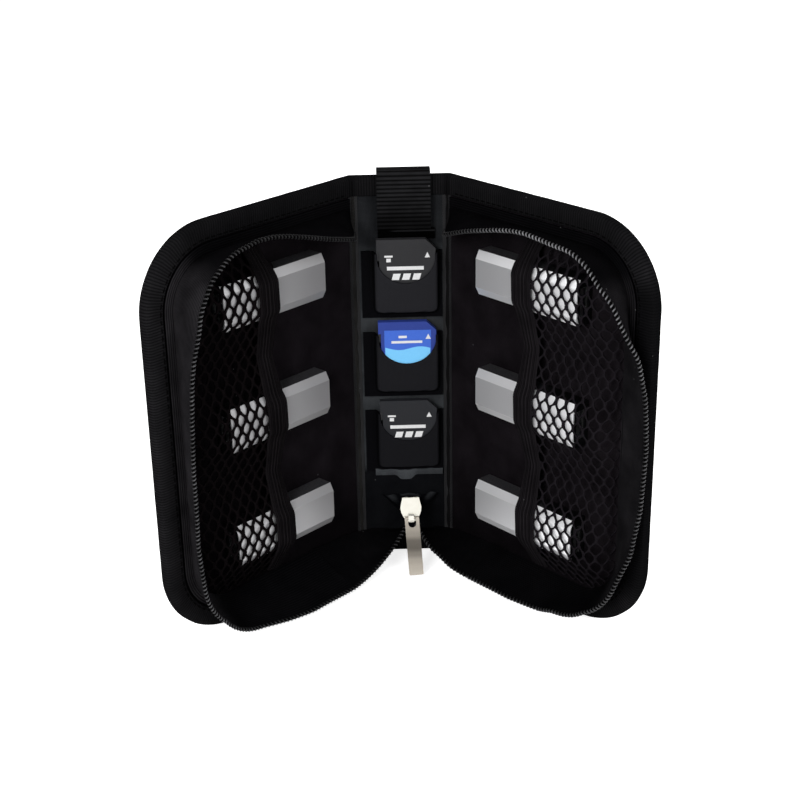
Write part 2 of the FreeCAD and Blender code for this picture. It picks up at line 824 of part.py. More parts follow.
def rounded_prism(inset, low, high):
    """The space inside a cover's outline, in by inset, between two distances from the mid plane."""
    width, height, corner = d.cover_width.value, d.case_height.value, d.corner_radius.value
    slim = Part.makeBox(width - corner, high - low, height - 2 * inset, FreeCAD.Vector(0, -high, inset))
    tall = Part.makeBox(width - inset, high - low, height - 2 * corner, FreeCAD.Vector(0, -high, corner))
    rounds = []
    for z in (corner, height - corner):
        centre = FreeCAD.Vector(width - corner, -high, z)
        rounds.append(Part.makeCylinder(corner - inset, high - low, centre, FreeCAD.Vector(0, 1, 0)))
    return slim.multiFuse([tall] + rounds).removeSplitter()


# Spine: the same layers as a cover, bound at its top and bottom, with a rolled fold on each side.
def make_spine():
    layers = (
        ("spine_outer_fabric", outer_face, d.fabric_thickness),
        ("spine_board", fabric_top, d.board_thickness),
        ("spine_lining", board_top, d.lining_thickness),
    )
    low, high = d.binding_thickness, d.case_height - d.binding_thickness
    for label, start, depth in layers:
        pad(new_body(label), "XZ_Plane", [rectangle(-spine_edge, spine_edge, low, high)], start, depth)
    top_edge = d.case_height - d.binding_width
    bindings = (
        ("spine_top_binding", top_edge, d.case_height, top_edge - d.cut_overrun, high),
        ("spine_bottom_binding", ZERO, d.binding_width, low, d.binding_width + d.cut_overrun),
    )
    wide = spine_edge + d.cut_overrun
    for label, bottom, top, groove_low, groove_high in bindings:
        body = new_body(label)
        outside = rectangle(-spine_edge, spine_edge, bottom, top)
        pad(body, "XZ_Plane", [outside], -half_bound, half_bound * 2)
        groove = rectangle(-wide, wide, groove_low, groove_high)
        cut(body, "XZ_Plane", [groove], inner_face, half_panel * 2)
    for name, side in SIDES.items():
        roll = doc.addObject("Part::Cylinder", f"{name}_fold_roll")
        roll.Label = f"{name}_fold_roll"
        roll.setExpression("Radius", half_bound.text)
        roll.setExpression("Height", d.case_height.text)
        place(roll, (spine_half * side, ZERO, ZERO))
        pieces[roll.Label] = roll


# Card pockets: a thin front wall with a thumb notch, leaning forwards with the card that it holds.
def card_floor(index):
    return d.case_height - d.card_top_drop - pocket_pitch * index


def make_card_pocket(index):
    body = new_body(f"card_pocket_{index + 1}")
    floor = card_floor(index)
    slope = tangent(card_tilt)
    slant = cosine(card_tilt)
    bottom = floor - d.pocket_floor - d.moving_clearance
    top = floor + pocket_height
    card_front = stick_back + (d.card_thickness + d.moving_clearance) / slant

    def front(height, wall):
        return -(card_front + wall / slant + (height - floor) * slope)

    half_inner = d.card_width / 2 + d.moving_clearance
    half_outer = half_inner + d.pocket_side
    outer = [
        (-inner_face, bottom), (-inner_face, top),
        (front(top, d.pocket_wall), top), (front(bottom, d.pocket_wall), bottom),
    ]
    pad(body, "YZ_Plane", [outer], d.card_shift - half_outer, half_outer * 2)
    inside_low = floor - d.moving_clearance
    inside_high = top + d.cut_overrun
    behind = -(inner_face - d.cut_overrun)
    inner = [
        (behind, inside_low), (behind, inside_high),
        (front(inside_high, ZERO), inside_high), (front(inside_low, ZERO), inside_low),
    ]
    cut(body, "YZ_Plane", [inner], d.card_shift + half_inner, half_inner * 2)
    notch_radius = d.card_width / 2
    round_height = floor + d.notch_floor + notch_radius
    open_height = top + notch_radius + d.cut_overrun
    notch = [
        (d.card_shift + notch_radius, round_height, HALF_CIRCLE, 1),
        (d.card_shift + notch_radius, open_height),
        (d.card_shift - notch_radius, open_height),
        (d.card_shift - notch_radius, round_height),
    ]
    front_most = -front(top, d.pocket_wall) + d.cut_overrun
    cut(body, "XZ_Plane", [notch], front_most, front_most)


# Cards: a flat card with one cut corner and a small lock tab in a slot in its left edge.
def make_card(index):
    body = new_body(f"card_{index + 1}")
    half = d.card_width / 2
    slot_x = -half + d.lock_slot_depth
    slot_top = d.lock_slot_bottom + d.lock_slot_length
    outline = [
        (half, ZERO), (half, d.card_length - d.card_chamfer), (half - d.card_chamfer, d.card_length),
        (-half, d.card_length), (-half, slot_top), (slot_x, slot_top),
        (slot_x, d.lock_slot_bottom), (-half, d.lock_slot_bottom), (-half, ZERO),
    ]
    pad(body, "XZ_Plane", [outline], ZERO, d.card_thickness)
    seat = (d.card_shift, -stick_back, card_floor(index))
    place(body, seat, (1, 0, 0), card_tilt)
    tab = new_body(f"card_{index + 1}_lock_tab")
    room = d.resting_clearance
    high = slot_top - room
    face = (d.card_thickness - d.lock_thickness) / 2
    block = rectangle(-half, slot_x - room, high - d.lock_length, high)
    pad(tab, "XZ_Plane", [block], face, d.lock_thickness)
    place(tab, seat, (1, 0, 0), card_tilt)


# Hem strip: the folded end of the pocket panel, sewn flat below the last pocket.
def make_hem_strip():
    half = d.card_width / 2 + d.moving_clearance + d.pocket_side
    top = card_floor(CARD_POCKETS - 1) - d.hem_strip_drop
    strip = rectangle(d.card_shift - half, d.card_shift + half, top - d.hem_strip_height, top)
    pad(new_body("pocket_hem_strip"), "XZ_Plane", [strip], inner_face, d.binding_thickness)


# Webbing loop: one strap over the spine's top edge, turned up on itself to hang as a loop inside.
def make_webbing_loop():
    body = new_body("webbing_loop")
    wall = d.webbing_thickness
    back_in = half_bound + d.resting_clearance
    back_out = back_in + wall
    inner_layer = -(half_bound + d.resting_clearance)
    inner_front = inner_layer - wall
    outer_layer = inner_front - d.webbing_gap
    outer_front = outer_layer - wall
    top = d.case_height + d.loop_rise
    under = top - wall
    bend = d.loop_bend
    tight = bend - wall
    turn_out = (inner_layer - outer_front) / 2
    turn_level = d.case_height - d.loop_hang + turn_out
    back_end = d.case_height - d.loop_back_drop
    front_end = d.case_height - d.loop_front_drop
    profile = [
        (back_out, back_end),
        (back_out, top - bend),
        (back_out - bend, top, bend, 1),
        (outer_front + bend, top),
        (outer_front, top - bend, bend, 1),
        (outer_front, turn_level),
        (inner_layer, turn_level, HALF_CIRCLE, 1),
        (inner_layer, front_end),
        (inner_front, front_end),
        (inner_front, turn_level),
        (outer_layer, turn_level, HALF_CIRCLE, -1),
        (outer_layer, under - tight),
        (outer_layer + tight, under, tight, -1),
        (back_in - tight, under),
        (back_in, under - tight, tight, -1),
        (back_in, back_end),
    ]
    pad(body, "YZ_Plane", [profile], d.loop_shift - d.loop_width / 2, d.loop_width)


# Zip end: a tape gusset at the spine's foot, peaked under the slider, with the coil on its front rim.
def gusset_line(lift):
    """The gusset's peaked line from left to right, raised by lift, as (x, z)."""
    middle = d.gusset_shift
    left = middle - d.gusset_half_width - d.gusset_shift
    right = middle + d.gusset_half_width
    low, high = d.gusset_foot + lift, d.gusset_top + lift
    return [
        (left, low), (middle - d.gusset_top_half, high), (middle + d.gusset_top_half, high), (right, low),
    ]


def make_gusset():
    tape = new_body("zip_gusset_tape")
    upper = gusset_line(ZERO)
    lower = gusset_line(-d.zip_tape_thickness)
    pad(tape, "XZ_Plane", [upper + lower[::-1]], half_bound, d.gusset_depth)
    level = -(half_bound + d.gusset_depth).value
    corners = [FreeCAD.Vector(x.value, level, z.value) for x, z in lower]
    rail = Rail([straight_run(corners[0], corners[1]), straight_run(corners[2], corners[3])])
    strips = []
    for run in rail.runs:
        strips.append(toothed_strip(Rail([run]), -d.coil_width.value + d.zip_tape_thickness.value))
    add_shape("zip_gusset_coil", Part.makeCompound(strips))


# Slider: two plates joined by a post, with a channel for each row of teeth and a bail for the tab.
def slider_base():
    """Where the slider stands: its lower back edge rests on the gusset's peak."""
    lean = cosine(d.slider_tilt)
    return (
        d.gusset_shift,
        -d.slider_back,
        d.gusset_top + d.slider_length / 2 * lean + d.resting_clearance,
    )


def make_slider():
    body = new_body("zip_slider")
    half = d.slider_width / 2
    mouth = d.slider_mouth_width / 2
    tail = d.slider_tail_width / 2
    low, high = -(d.slider_length / 2), d.slider_length / 2
    shoulder = low + d.slider_length * d.slider_shoulder_share
    thickness = d.slider_plate * 2 + d.slider_channel
    turned_in = low + d.slider_tail_rise
    side_round = d.slider_side_round
    shield = [
        (half, shoulder, side_round, 1), (mouth, high), (-mouth, high), (-half, shoulder),
        (-tail, turned_in, side_round, 1), (tail, turned_in, d.slider_tail_round, 1),
    ]
    pad(body, "XZ_Plane", [shield], ZERO, thickness)
    post = d.slider_post_width / 2
    flange = d.slider_flange
    split = high - d.slider_post_length
    channel = [
        (tail - flange / 2, low - d.cut_overrun), (half - flange, shoulder),
        (mouth - flange / 2, high + d.cut_overrun), (post, high + d.cut_overrun), (post, split),
        (-post, split), (-post, high + d.cut_overrun),
        (flange / 2 - mouth, high + d.cut_overrun), (flange - half, shoulder),
        (flange / 2 - tail, low - d.cut_overrun),
    ]
    cut(body, "XZ_Plane", [channel], d.slider_plate + d.slider_channel, d.slider_channel)
    doc.recompute()
    bail_low = low + d.bail_tail_gap
    bail_high = bail_low + d.bail_length
    face, crown = -thickness, -(thickness + d.bail_height)
    wall = d.bail_wall
    arch = [
        (face, bail_low), (crown + wall, bail_low), (crown, bail_low + wall), (crown, bail_high - wall),
        (crown + wall, bail_high), (face, bail_high), (face, bail_high - wall),
        (crown + wall, bail_high - wall), (crown + wall, bail_low + wall), (face, bail_low + wall),
    ]
    pad(body, "YZ_Plane", [arch], -(d.bail_width / 2), d.bail_width)
    place(body, slider_base(), (-1, 0, 0), d.slider_tilt)

    tab = new_body("pull_tab")
    pivot_z = (bail_low + bail_high) / 2
    pivot_n = thickness + (d.bail_height - wall) / 2
    wide = d.tab_width / 2
    eye = d.tab_eye_width / 2
    bar = d.tab_bar / 2
    eye_drop = bar + d.tab_eye_length - eye
    corner = d.tab_corner

    def hung(x, drop, *arc):
        """A corner of the tab, which hangs from its bar at a slight lean."""
        across = d.tab_shift + x * cosine(d.tab_lean) + drop * sine(d.tab_lean)
        return (across, pivot_z + x * sine(d.tab_lean) - drop * cosine(d.tab_lean), *arc)

    fork = [
        hung(wide, ZERO), hung(eye, ZERO), hung(eye, eye_drop), hung(-eye, eye_drop, HALF_CIRCLE, -1),
        hung(-eye, ZERO), hung(-wide, ZERO), hung(-wide, d.tab_length - corner),
        hung(corner - wide, d.tab_length, corner, 1), hung(wide - corner, d.tab_length),
        hung(wide, d.tab_length - corner, corner, 1),
    ]
    pad(tab, "XZ_Plane", [fork], pivot_n - d.tab_thickness / 2, d.tab_thickness)
    doc.recompute()
    round_bar = [(bar - pivot_n, pivot_z, HALF_CIRCLE, 1), (-bar - pivot_n, pivot_z, HALF_CIRCLE, 1)]
    pad(tab, "YZ_Plane", [round_bar], d.tab_shift - wide, d.tab_width)
    place(tab, slider_base(), (-1, 0, 0), d.slider_tilt)


for cover_name, cover_side in SIDES.items():
    make_cover_layers(cover_name, cover_side)
    splayed = cover_name in SPLAYED_COVERS
    make_tape = make_splayed_tape if splayed else make_zip_tape
    make_tape(cover_name, cover_side)
    make_zip_coil(cover_name, cover_side, splayed)
    make_mesh_net(cover_name, cover_side)
    make_mesh_elastic(cover_name, cover_side)
    for stick_index in range(STICKS_PER_COVER):
        make_stick(cover_name, cover_side, stick_index)
make_spine()
for pocket_index in range(CARD_POCKETS):
    make_card_pocket(pocket_index)
    make_card(pocket_index)
make_hem_strip()
make_webbing_loop()
make_gusset()
make_slider()
doc.recompute()

# Every object has to be sound before anything is written.
for thing in doc.Objects:
    if "Invalid" in thing.State or "Error" in thing.State:
        raise RuntimeError(f"{thing.Label} did not recompute: {thing.State}")
    if thing.TypeId == "PartDesign::Pocket":
        if thing.Shape.isNull() or thing.Shape.Volume >= thing.BaseFeature.Shape.Volume:
            raise RuntimeError(f"{thing.Label} cut nothing")
for piece_name, piece in pieces.items():
    if piece.Shape.isNull() or not piece.Shape.isValid() or piece.Shape.Volume <= 0:
        raise RuntimeError(f"{piece_name} is not a sound solid")

os.makedirs("parts", exist_ok=True)
for piece_name, piece in pieces.items():
    piece.Shape.exportStep(f"parts/{piece_name}.step")
print(f"{len(pieces)} pieces written")
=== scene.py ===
import json
import math
import random

import bmesh
import bpy
import numpy as np
from mathutils import Matrix, Vector, noise


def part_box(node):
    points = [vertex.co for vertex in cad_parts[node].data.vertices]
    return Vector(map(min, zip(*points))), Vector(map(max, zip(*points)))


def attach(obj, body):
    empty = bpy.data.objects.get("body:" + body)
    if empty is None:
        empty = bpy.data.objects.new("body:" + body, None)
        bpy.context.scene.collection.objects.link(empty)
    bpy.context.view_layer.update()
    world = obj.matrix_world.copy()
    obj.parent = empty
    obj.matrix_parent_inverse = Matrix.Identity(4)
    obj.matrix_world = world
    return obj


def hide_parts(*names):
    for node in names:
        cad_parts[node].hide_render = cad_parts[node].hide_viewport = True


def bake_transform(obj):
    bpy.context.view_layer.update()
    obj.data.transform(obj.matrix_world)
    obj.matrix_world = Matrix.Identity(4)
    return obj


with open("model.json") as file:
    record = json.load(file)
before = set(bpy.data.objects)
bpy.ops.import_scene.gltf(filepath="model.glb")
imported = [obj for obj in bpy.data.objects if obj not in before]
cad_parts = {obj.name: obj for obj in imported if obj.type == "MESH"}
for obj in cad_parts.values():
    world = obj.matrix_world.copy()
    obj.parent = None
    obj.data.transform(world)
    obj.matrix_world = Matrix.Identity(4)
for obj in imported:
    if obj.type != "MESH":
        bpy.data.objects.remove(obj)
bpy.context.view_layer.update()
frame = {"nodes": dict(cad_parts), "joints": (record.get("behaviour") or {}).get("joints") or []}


# Boards: the stiff pulp board inside both covers and the spine, closed in between fabric and
# lining. They keep their solids, with a mottled grey grain.
def ink(red, green, blue):
    """A colour as a screen shows it, 0 to 255, in the linear values that a shader takes."""
    linear = []
    for value in (red, green, blue):
        share = value / 255
        linear.append(share / 12.92 if share <= 0.04045 else ((share + 0.055) / 1.055) ** 2.4)
    return (*linear, 1.0)


def add(tree, kind, inputs=None, **settings):
    """A new shader node; an input is a plain value or another node's output."""
    made = tree.nodes.new("ShaderNode" + kind)
    for name, value in settings.items():
        setattr(made, name, value)
    for socket, value in (inputs or {}).items():
        if isinstance(value, bpy.types.NodeSocket):
            tree.links.new(value, made.inputs[socket])
        else:
            made.inputs[socket].default_value = value
    return made


def calc(tree, operation, first, second=0.0):
    """A sum, product or other plain step between two values."""
    return add(tree, "Math", {0: first, 1: second}, operation=operation).outputs[0]


def between(tree, share, first, second):
    """A colour between two others."""
    mixed = add(tree, "Mix", {0: share, 6: first, 7: second}, data_type="RGBA")
    return mixed.outputs[2]


def new_group(name, inputs, outputs):
    """An empty shader group with its sockets, and the nodes at its two ends."""
    tree = bpy.data.node_groups.new(name, "ShaderNodeTree")
    for label, kind in inputs.items():
        tree.interface.new_socket(label, in_out="INPUT", socket_type="NodeSocket" + kind)
    for label, kind in outputs.items():
        tree.interface.new_socket(label, in_out="OUTPUT", socket_type="NodeSocket" + kind)
    return tree, tree.nodes.new("NodeGroupInput"), tree.nodes.new("NodeGroupOutput")


def new_material(name, values):
    """A Principled material with its plain values on the shader's own sockets."""
    material = bpy.data.materials.new(name)
    material.use_nodes = True
    shader = material.node_tree.nodes["Principled BSDF"]
    for socket, value in values.items():
        shader.inputs[socket].default_value = value
    return material, material.node_tree, shader


def measured(tree, entry, unit):
    """A group's place, counted in the unit that one of its inputs gives."""
    scaled = add(tree, "VectorMath", {0: entry.outputs["Place"]}, operation="SCALE")
    tree.links.new(calc(tree, "DIVIDE", 1.0, entry.outputs[unit]), scaled.inputs["Scale"])
    return scaled.outputs[0]


# Mottle: soft uneven patches of a given size.
mottle, entry, leave = new_group(
    "mottle", {"Place": "Vector", "Size": "Float"}, {"Tone": "Float"})
patches = add(mottle, "TexNoise", {"Vector": measured(mottle, entry, "Size"), "Scale": 1.0,
                                   "Detail": 4.0})
mottle.links.new(patches.outputs[0], leave.inputs["Tone"])


def mottled(tree, place, size):
    return add(tree, "Group", {"Place": place, "Size": size}, node_tree=mottle).outputs["Tone"]


def raise_surface(tree, shader, strength, depth, height):
    """Bumps a material's surface."""
    raised = add(tree, "Bump", {"Strength": strength, "Distance": depth, "Height": height})
    tree.links.new(raised.outputs[0], shader.inputs["Normal"])


def grained(name, dark, light, size, strength, depth, values):
    """A material with an uneven grain of a given size, which its colour and its surface follow."""
    material, tree, shader = new_material(name, values)
    grain = mottled(tree, add(tree, "TexCoord").outputs["Object"], size)
    tree.links.new(between(tree, grain, dark, light), shader.inputs["Base Color"])
    raise_surface(tree, shader, strength, depth, grain)
    return material


board_material = grained("pulp_board", ink(96, 92, 86), ink(128, 123, 114), 0.004, 0.4, 0.0002,
                         {"Roughness": 0.9})
for name in ("left_board", "right_board", "spine_board"):
    frame["nodes"][name].data.materials[0] = board_material


# Outer fabric: black nylon drawn over the boards of the covers and round the spine. One slightly
# crowned sheet a panel, and a skin shaped round each fold.
covers = {}
for joint in frame["joints"]:
    if joint["name"].endswith("_cover_fold"):
        side = joint["name"].split("_")[0]
        across = 1 if side == "right" else -1
        turn = math.radians(joint["range_deg"][1])
        along = Vector((across * math.cos(turn), -math.sin(turn), 0))
        inward = Vector((-across * math.sin(turn), -math.cos(turn), 0))
        covers[side] = (Vector(joint["pos_m"]), along, inward)


def on_cover(side, u, n, z):
    """A point by its distance from the fold, its height above the cover's middle, and its level."""
    fold, along, inward = covers[side]
    return fold + along * u + inward * n + Vector((0, 0, z))


def cover_span(side, node):
    """The lowest and highest distance from the fold, height and level that a CAD node reaches."""
    fold, along, inward = covers[side]
    reach = []
    for vertex in frame["nodes"][node].data.vertices:
        place = frame["nodes"][node].matrix_world @ vertex.co - fold
        reach.append((place.dot(along), place.dot(inward), place.z))
    return np.min(reach, axis=0), np.max(reach, axis=0)


case_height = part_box("left_binding")[1].z
cover_width = cover_span("right", "right_binding")[1][0]
cover_start = cover_span("right", "right_outer_fabric")[0][0]
half_panel = -cover_span("right", "right_outer_fabric")[0][1]
spine_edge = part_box("spine_outer_fabric")[1].x
fabric_thickness = 0.001
fabric_crown = 0.0009
fabric_ripple = 0.0002
spine_crown = 0.0006
corner_radius = 0.032
corner_start = cover_width - corner_radius
binding_width = 0.008
panel_inset = 0.0012


def smooth(low, high, value):
    """How far a value lies between two others, from 0 to 1, easing in and out."""
    share = min(max((value - low) / (high - low), 0.0), 1.0)
    return share * share * (3 - 2 * share)


def piece(name, vertices, faces, places, material, sharp=35):
    """A mesh piece; places are each vertex's position on the flat cloth, kept as UVs in metres."""
    mesh = bpy.data.meshes.new(name)
    mesh.from_pydata([tuple(v) for v in vertices], [], faces)
    shape = bmesh.new()
    shape.from_mesh(mesh)
    bmesh.ops.recalc_face_normals(shape, faces=shape.faces[:])
    shape.to_mesh(mesh)
    shape.free()
    if places is not None:
        layer = mesh.uv_layers.new(name="flat")
        for loop in mesh.loops:
            layer.data[loop.index].uv = places[loop.vertex_index]
    mesh.shade_smooth()
    mesh.set_sharp_from_angle(angle=math.radians(sharp))
    mesh.materials.append(material)
    made = bpy.data.objects.new(name, mesh)
    bpy.context.collection.objects.link(made)
    return made


def slab(name, front, back, places, material):
    """A closed sheet between two grids of points."""
    rows, columns = len(front), len(front[0])
    count = rows * columns
    vertices = [p for row in front for p in row] + [p for row in back for p in row]
    flat = [p for row in places for p in row] * 2
    faces = []
    for i in range(rows - 1):
        for j in range(columns - 1):
            a = i * columns + j
            faces.append((a, a + 1, a + columns + 1, a + columns))
            faces.append((a + count, a + count + columns, a + count + columns + 1, a + count + 1))
    rim = list(range(columns)) + [i * columns + columns - 1 for i in range(1, rows)]
    rim += [(rows - 1) * columns + j for j in range(columns - 2, -1, -1)]
    rim += [i * columns for i in range(rows - 2, 0, -1)]
    for a, b in zip(rim, rim[1:] + rim[:1]):
        faces.append((b, a, a + count, b + count))
    return piece(name, vertices, faces, flat, material)


def outline_top(u, inset):
    """The level of a cover's top edge, inset from it, with its rounded corner."""
    over = u - corner_start
    reach = corner_radius - inset
    if over <= 0:
        return case_height - inset
    return case_height - corner_radius + math.sqrt(max(reach * reach - over * over, 0.0))


def edge_inset(u, z):
    """How far a place on a cover lies inside its free edges."""
    high = abs(z - case_height / 2) - (case_height / 2 - corner_radius)
    out = u - corner_start
    if high > 0 and out > 0:
        return corner_radius - math.hypot(high, out)
    return corner_radius - max(high, out)


def cover_grid(columns, rows):
    """Places over a whole cover, column by column from the fold out, as (distance, level)."""
    line = [cover_start + (corner_start - cover_start) * i / columns for i in range(columns)]
    quarter = 14
    for i in range(quarter + 1):
        turn = math.pi / 2 * i / quarter
        line.append(corner_start + (corner_radius - panel_inset) * math.sin(turn))
    grid = []
    for u in line:
        top = outline_top(u, panel_inset)
        bottom = case_height - top
        grid.append([(u, bottom + (top - bottom) * j / rows) for j in range(rows + 1)])
    return grid


def panel_levels(count):
    """Even levels over the height of a panel."""
    return [panel_inset + (case_height - 2 * panel_inset) * j / count for j in range(count + 1)]


# Weave: threads that pass over and under each other, at a given spacing.
weave, entry, leave = new_group(
    "weave", {"Place": "Vector", "Thread": "Float"}, {"Height": "Float"})
counted = measured(weave, entry, "Thread")
axes = add(weave, "SeparateXYZ", {0: counted})
ridges = []
for axis in ("X", "Y"):
    wave = calc(weave, "SINE", calc(weave, "MULTIPLY", axes.outputs[axis], math.pi))
    ridges.append(calc(weave, "ABSOLUTE", wave))
over = add(weave, "TexChecker", {"Vector": counted, "Scale": 1.0}).outputs["Fac"]
height = add(weave, "Mix", {0: over, 2: ridges[0], 3: ridges[1]}, data_type="FLOAT")
weave.links.new(height.outputs[0], leave.inputs["Height"])

# Ribs: even rounded ridges at a given pitch.
ribs, entry, leave = new_group("ribs", {"Run": "Float", "Pitch": "Float"}, {"Height": "Float"})
count = calc(ribs, "DIVIDE", entry.outputs["Run"], entry.outputs["Pitch"])
wave = calc(ribs, "SINE", calc(ribs, "MULTIPLY", count, math.pi))
ribs.links.new(calc(ribs, "ABSOLUTE", wave), leave.inputs["Height"])

# Lint: scattered specks of pale fluff, a few to each cell of a given size.
lint, entry, leave = new_group("lint", {"Place": "Vector", "Cell": "Float"}, {"Mask": "Float"})
cells = add(lint, "TexVoronoi", {"Vector": measured(lint, entry, "Cell"), "Scale": 1.0})
chosen = add(lint, "SeparateXYZ", {0: cells.outputs["Color"]})
speck = calc(lint, "LESS_THAN", cells.outputs["Distance"], 0.05)
picked = calc(lint, "GREATER_THAN", chosen.outputs[0], 0.8)
lint.links.new(calc(lint, "MULTIPLY", speck, picked), leave.inputs["Mask"])


def cloth(name, dark, light, pattern, pitch, depth, values,
          crease=0.0, lint_cell=0.006, shaded=False):
    """A woven material. Its pattern is weave, ribs across the run of the UVs, or ribs along it.

    A shaded one is painted darker where its piece's shade is low: painted shade."""
    material, tree, shader = new_material(name, values)
    coordinates = add(tree, "TexCoord")
    flat, place = coordinates.outputs["UV"], coordinates.outputs["Object"]
    if pattern == "weave":
        threads = add(tree, "Group", {"Place": flat, "Thread": pitch}, node_tree=weave)
    else:
        axes = add(tree, "SeparateXYZ", {0: flat})
        run = axes.outputs["X" if pattern == "across" else "Y"]
        threads = add(tree, "Group", {"Run": run, "Pitch": pitch}, node_tree=ribs)
    height = threads.outputs["Height"]
    tone = calc(tree, "MULTIPLY", height, mottled(tree, place, 0.012))
    if shaded:
        shade = add(tree, "Attribute", attribute_name="shade").outputs["Fac"]
        tone = calc(tree, "MULTIPLY", tone, shade)
    colour = between(tree, tone, dark, light)
    fluff = add(tree, "Group", {"Place": place, "Cell": lint_cell}, node_tree=lint).outputs["Mask"]
    dusted = between(tree, calc(tree, "MULTIPLY", fluff, 0.16), colour, ink(150, 150, 150))
    tree.links.new(dusted, shader.inputs["Base Color"])
    normal = add(tree, "Bump", {"Strength": 0.8, "Distance": depth, "Height": height}).outputs[0]
    if crease:
        normal = add(tree, "Bump", {"Strength": 0.9, "Distance": crease, "Normal": normal,
                                    "Height": mottled(tree, place, 0.018)}).outputs[0]
    tree.links.new(normal, shader.inputs["Normal"])
    return material


def set_shade(made, values, name="shade"):
    """Gives each point its painted light and shade from 0 to 1; a closed sheet's back takes its
    front's.
    """
    shade = made.data.attributes.new(name, "FLOAT", "POINT")
    shade.data.foreach_set("value", list(values) * (len(made.data.vertices) // len(values)))


shell = cloth("shell_nylon", ink(13, 13, 14), ink(40, 40, 42), "weave", 0.0007, 0.00012,
              {"Roughness": 0.6, "Specular IOR Level": 0.15}, crease=0.0006)
for side in covers:
    places = cover_grid(12, 40)
    outside, inside = [], []
    for column in places:
        outside.append([])
        inside.append([])
        for u, z in column:
            swell = fabric_crown * smooth(binding_width, 0.030, edge_inset(u, z))
            ripple = fabric_ripple * noise.noise(Vector((u * 60, z * 60, 3)))
            outside[-1].append(on_cover(side, u, -half_panel - swell - ripple, z))
            inside[-1].append(on_cover(side, u, fabric_thickness - half_panel, z))
    panel = slab(f"{side}_outer_panel", outside, inside, places, shell)
    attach(panel, f"{side}_cover")
    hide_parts(f"{side}_outer_fabric")

places, outside, inside = [], [], []
for i in range(13):
    x = -spine_edge + 2 * spine_edge * i / 12
    places.append([(x, z) for z in panel_levels(40)])
    swell = spine_crown * (1 - (x / spine_edge) ** 2)
    outside.append([Vector((x, half_panel + swell, z)) for x, z in places[-1]])
    inside.append([Vector((x, half_panel - fabric_thickness, z)) for x, z in places[-1]])
panel = slab("spine_outer_panel", outside, inside, places, shell)
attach(panel, "spine")
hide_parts("spine_outer_fabric")


def fold_line(side, count=10):
    """Points and outward directions across a fold, from the spine's edge to the cover's start."""
    fold, along, inward = covers[side]
    spine_way = Vector((-1 if side == "right" else 1, 0, 0))
    run_in = abs(fold.x) - spine_edge
    line = []
    for i in range(count + 1):
        share = i / count
        out = Vector((0, 1, 0)).slerp(-inward, smooth(0.15, 0.85, share))
        if share < 0.5:
            base = fold + spine_way * run_in * (1 - 2 * share)
        else:
            base = fold + along * cover_start * (2 * share - 1)
        line.append((base, out, share * (run_in + cover_start)))
    return line


for side in covers:
    places, outside, inside = [], [], []
    line = fold_line(side)
    for base, out, run in line:
        levels = panel_levels(40)
        places.append([(run, z) for z in levels])
        outside.append([base + out * half_panel + Vector((0, 0, z)) for z in levels])
        inside.append([base - out * half_panel + Vector((0, 0, z)) for z in levels])
    skin = slab(f"{side}_fold_skin", outside, inside, places, shell)
    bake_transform(skin)


# Lining: thin black cloth over the inside of covers and spine, a little slack. The spine's is a
# shinier sheet, painted grey with light between the pockets and dark with shade above and below
# them.
lining_cloth = cloth("lining_cloth", ink(5, 4, 5), ink(40, 36, 40), "weave", 0.0005, 0.00006,
                     {"Roughness": 0.8, "Specular IOR Level": 0.0}, crease=0.0009, shaded=True)
# How much painted shade darkens each lining behind its net, or how much painted light makes it
# paler where this is below 0.
net_painted_shade = {"left": 0.68, "right": -0.45}
lining_seed = {"left": 8, "right": 21}
lining_back = cover_span("right", "right_lining")[0][1]
lining_slack = 0.0003
lining_room = 0.0002
for side in covers:
    places = cover_grid(20, 60)
    top, under, shades = [], [], []
    for column in places:
        top.append([])
        under.append([])
        for u, z in column:
            slack = lining_slack * noise.noise(Vector((u * 70, z * 45, lining_seed[side])))
            top[-1].append(on_cover(side, u, half_panel - lining_room + min(slack, lining_room), z))
            under[-1].append(on_cover(side, u, lining_back, z))
            # Painted shade: darker behind the left net and towards the bottom; painted light behind
            # the right net.
            shades.append((1 - net_painted_shade[side] * smooth(0.050, 0.060, u)) * smooth(-0.02, 0.06, z))
    panel = slab(f"{side}_lining_panel", top, under, places, lining_cloth)
    set_shade(panel, shades)
    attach(panel, f"{side}_cover")
    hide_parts(f"{side}_lining")

spine_cloth = cloth("spine_lining_cloth", ink(5, 5, 7), ink(108, 112, 116), "weave", 0.0005,
                    0.00005, {"Roughness": 0.6, "Specular IOR Level": 0.0}, crease=0.0009,
                    shaded=True)
pocket_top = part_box("card_pocket_1")[1].z
pocket_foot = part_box("card_pocket_3")[0].z
spine_dim = 0.06
spine_light = 0.58
places, top, under, shades = [], [], [], []
for i in range(25):
    x = -spine_edge + 2 * spine_edge * i / 24
    places.append([(x, z) for z in panel_levels(90)])
    top.append([])
    for x, z in places[-1]:
        slack = lining_slack * noise.noise(Vector((x * 90, z * 60, 5)))
        top[-1].append(Vector((x, -half_panel + lining_room - min(slack, lining_room), z)))
        # Painted light on the spine between the pockets; painted shade above the top pocket and
        # below the pockets.
        lit = smooth(pocket_foot - 0.003, pocket_foot, z)
        lit *= 1 - 0.75 * smooth(pocket_top - 0.002, pocket_top + 0.004, z)
        shades.append(spine_dim + spine_light * lit)
    under.append([Vector((x, -lining_back, z)) for x, z in places[-1]])
panel = slab("spine_lining_panel", top, under, places, spine_cloth)
set_shade(panel, shades)
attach(panel, "spine")
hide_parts("spine_lining")


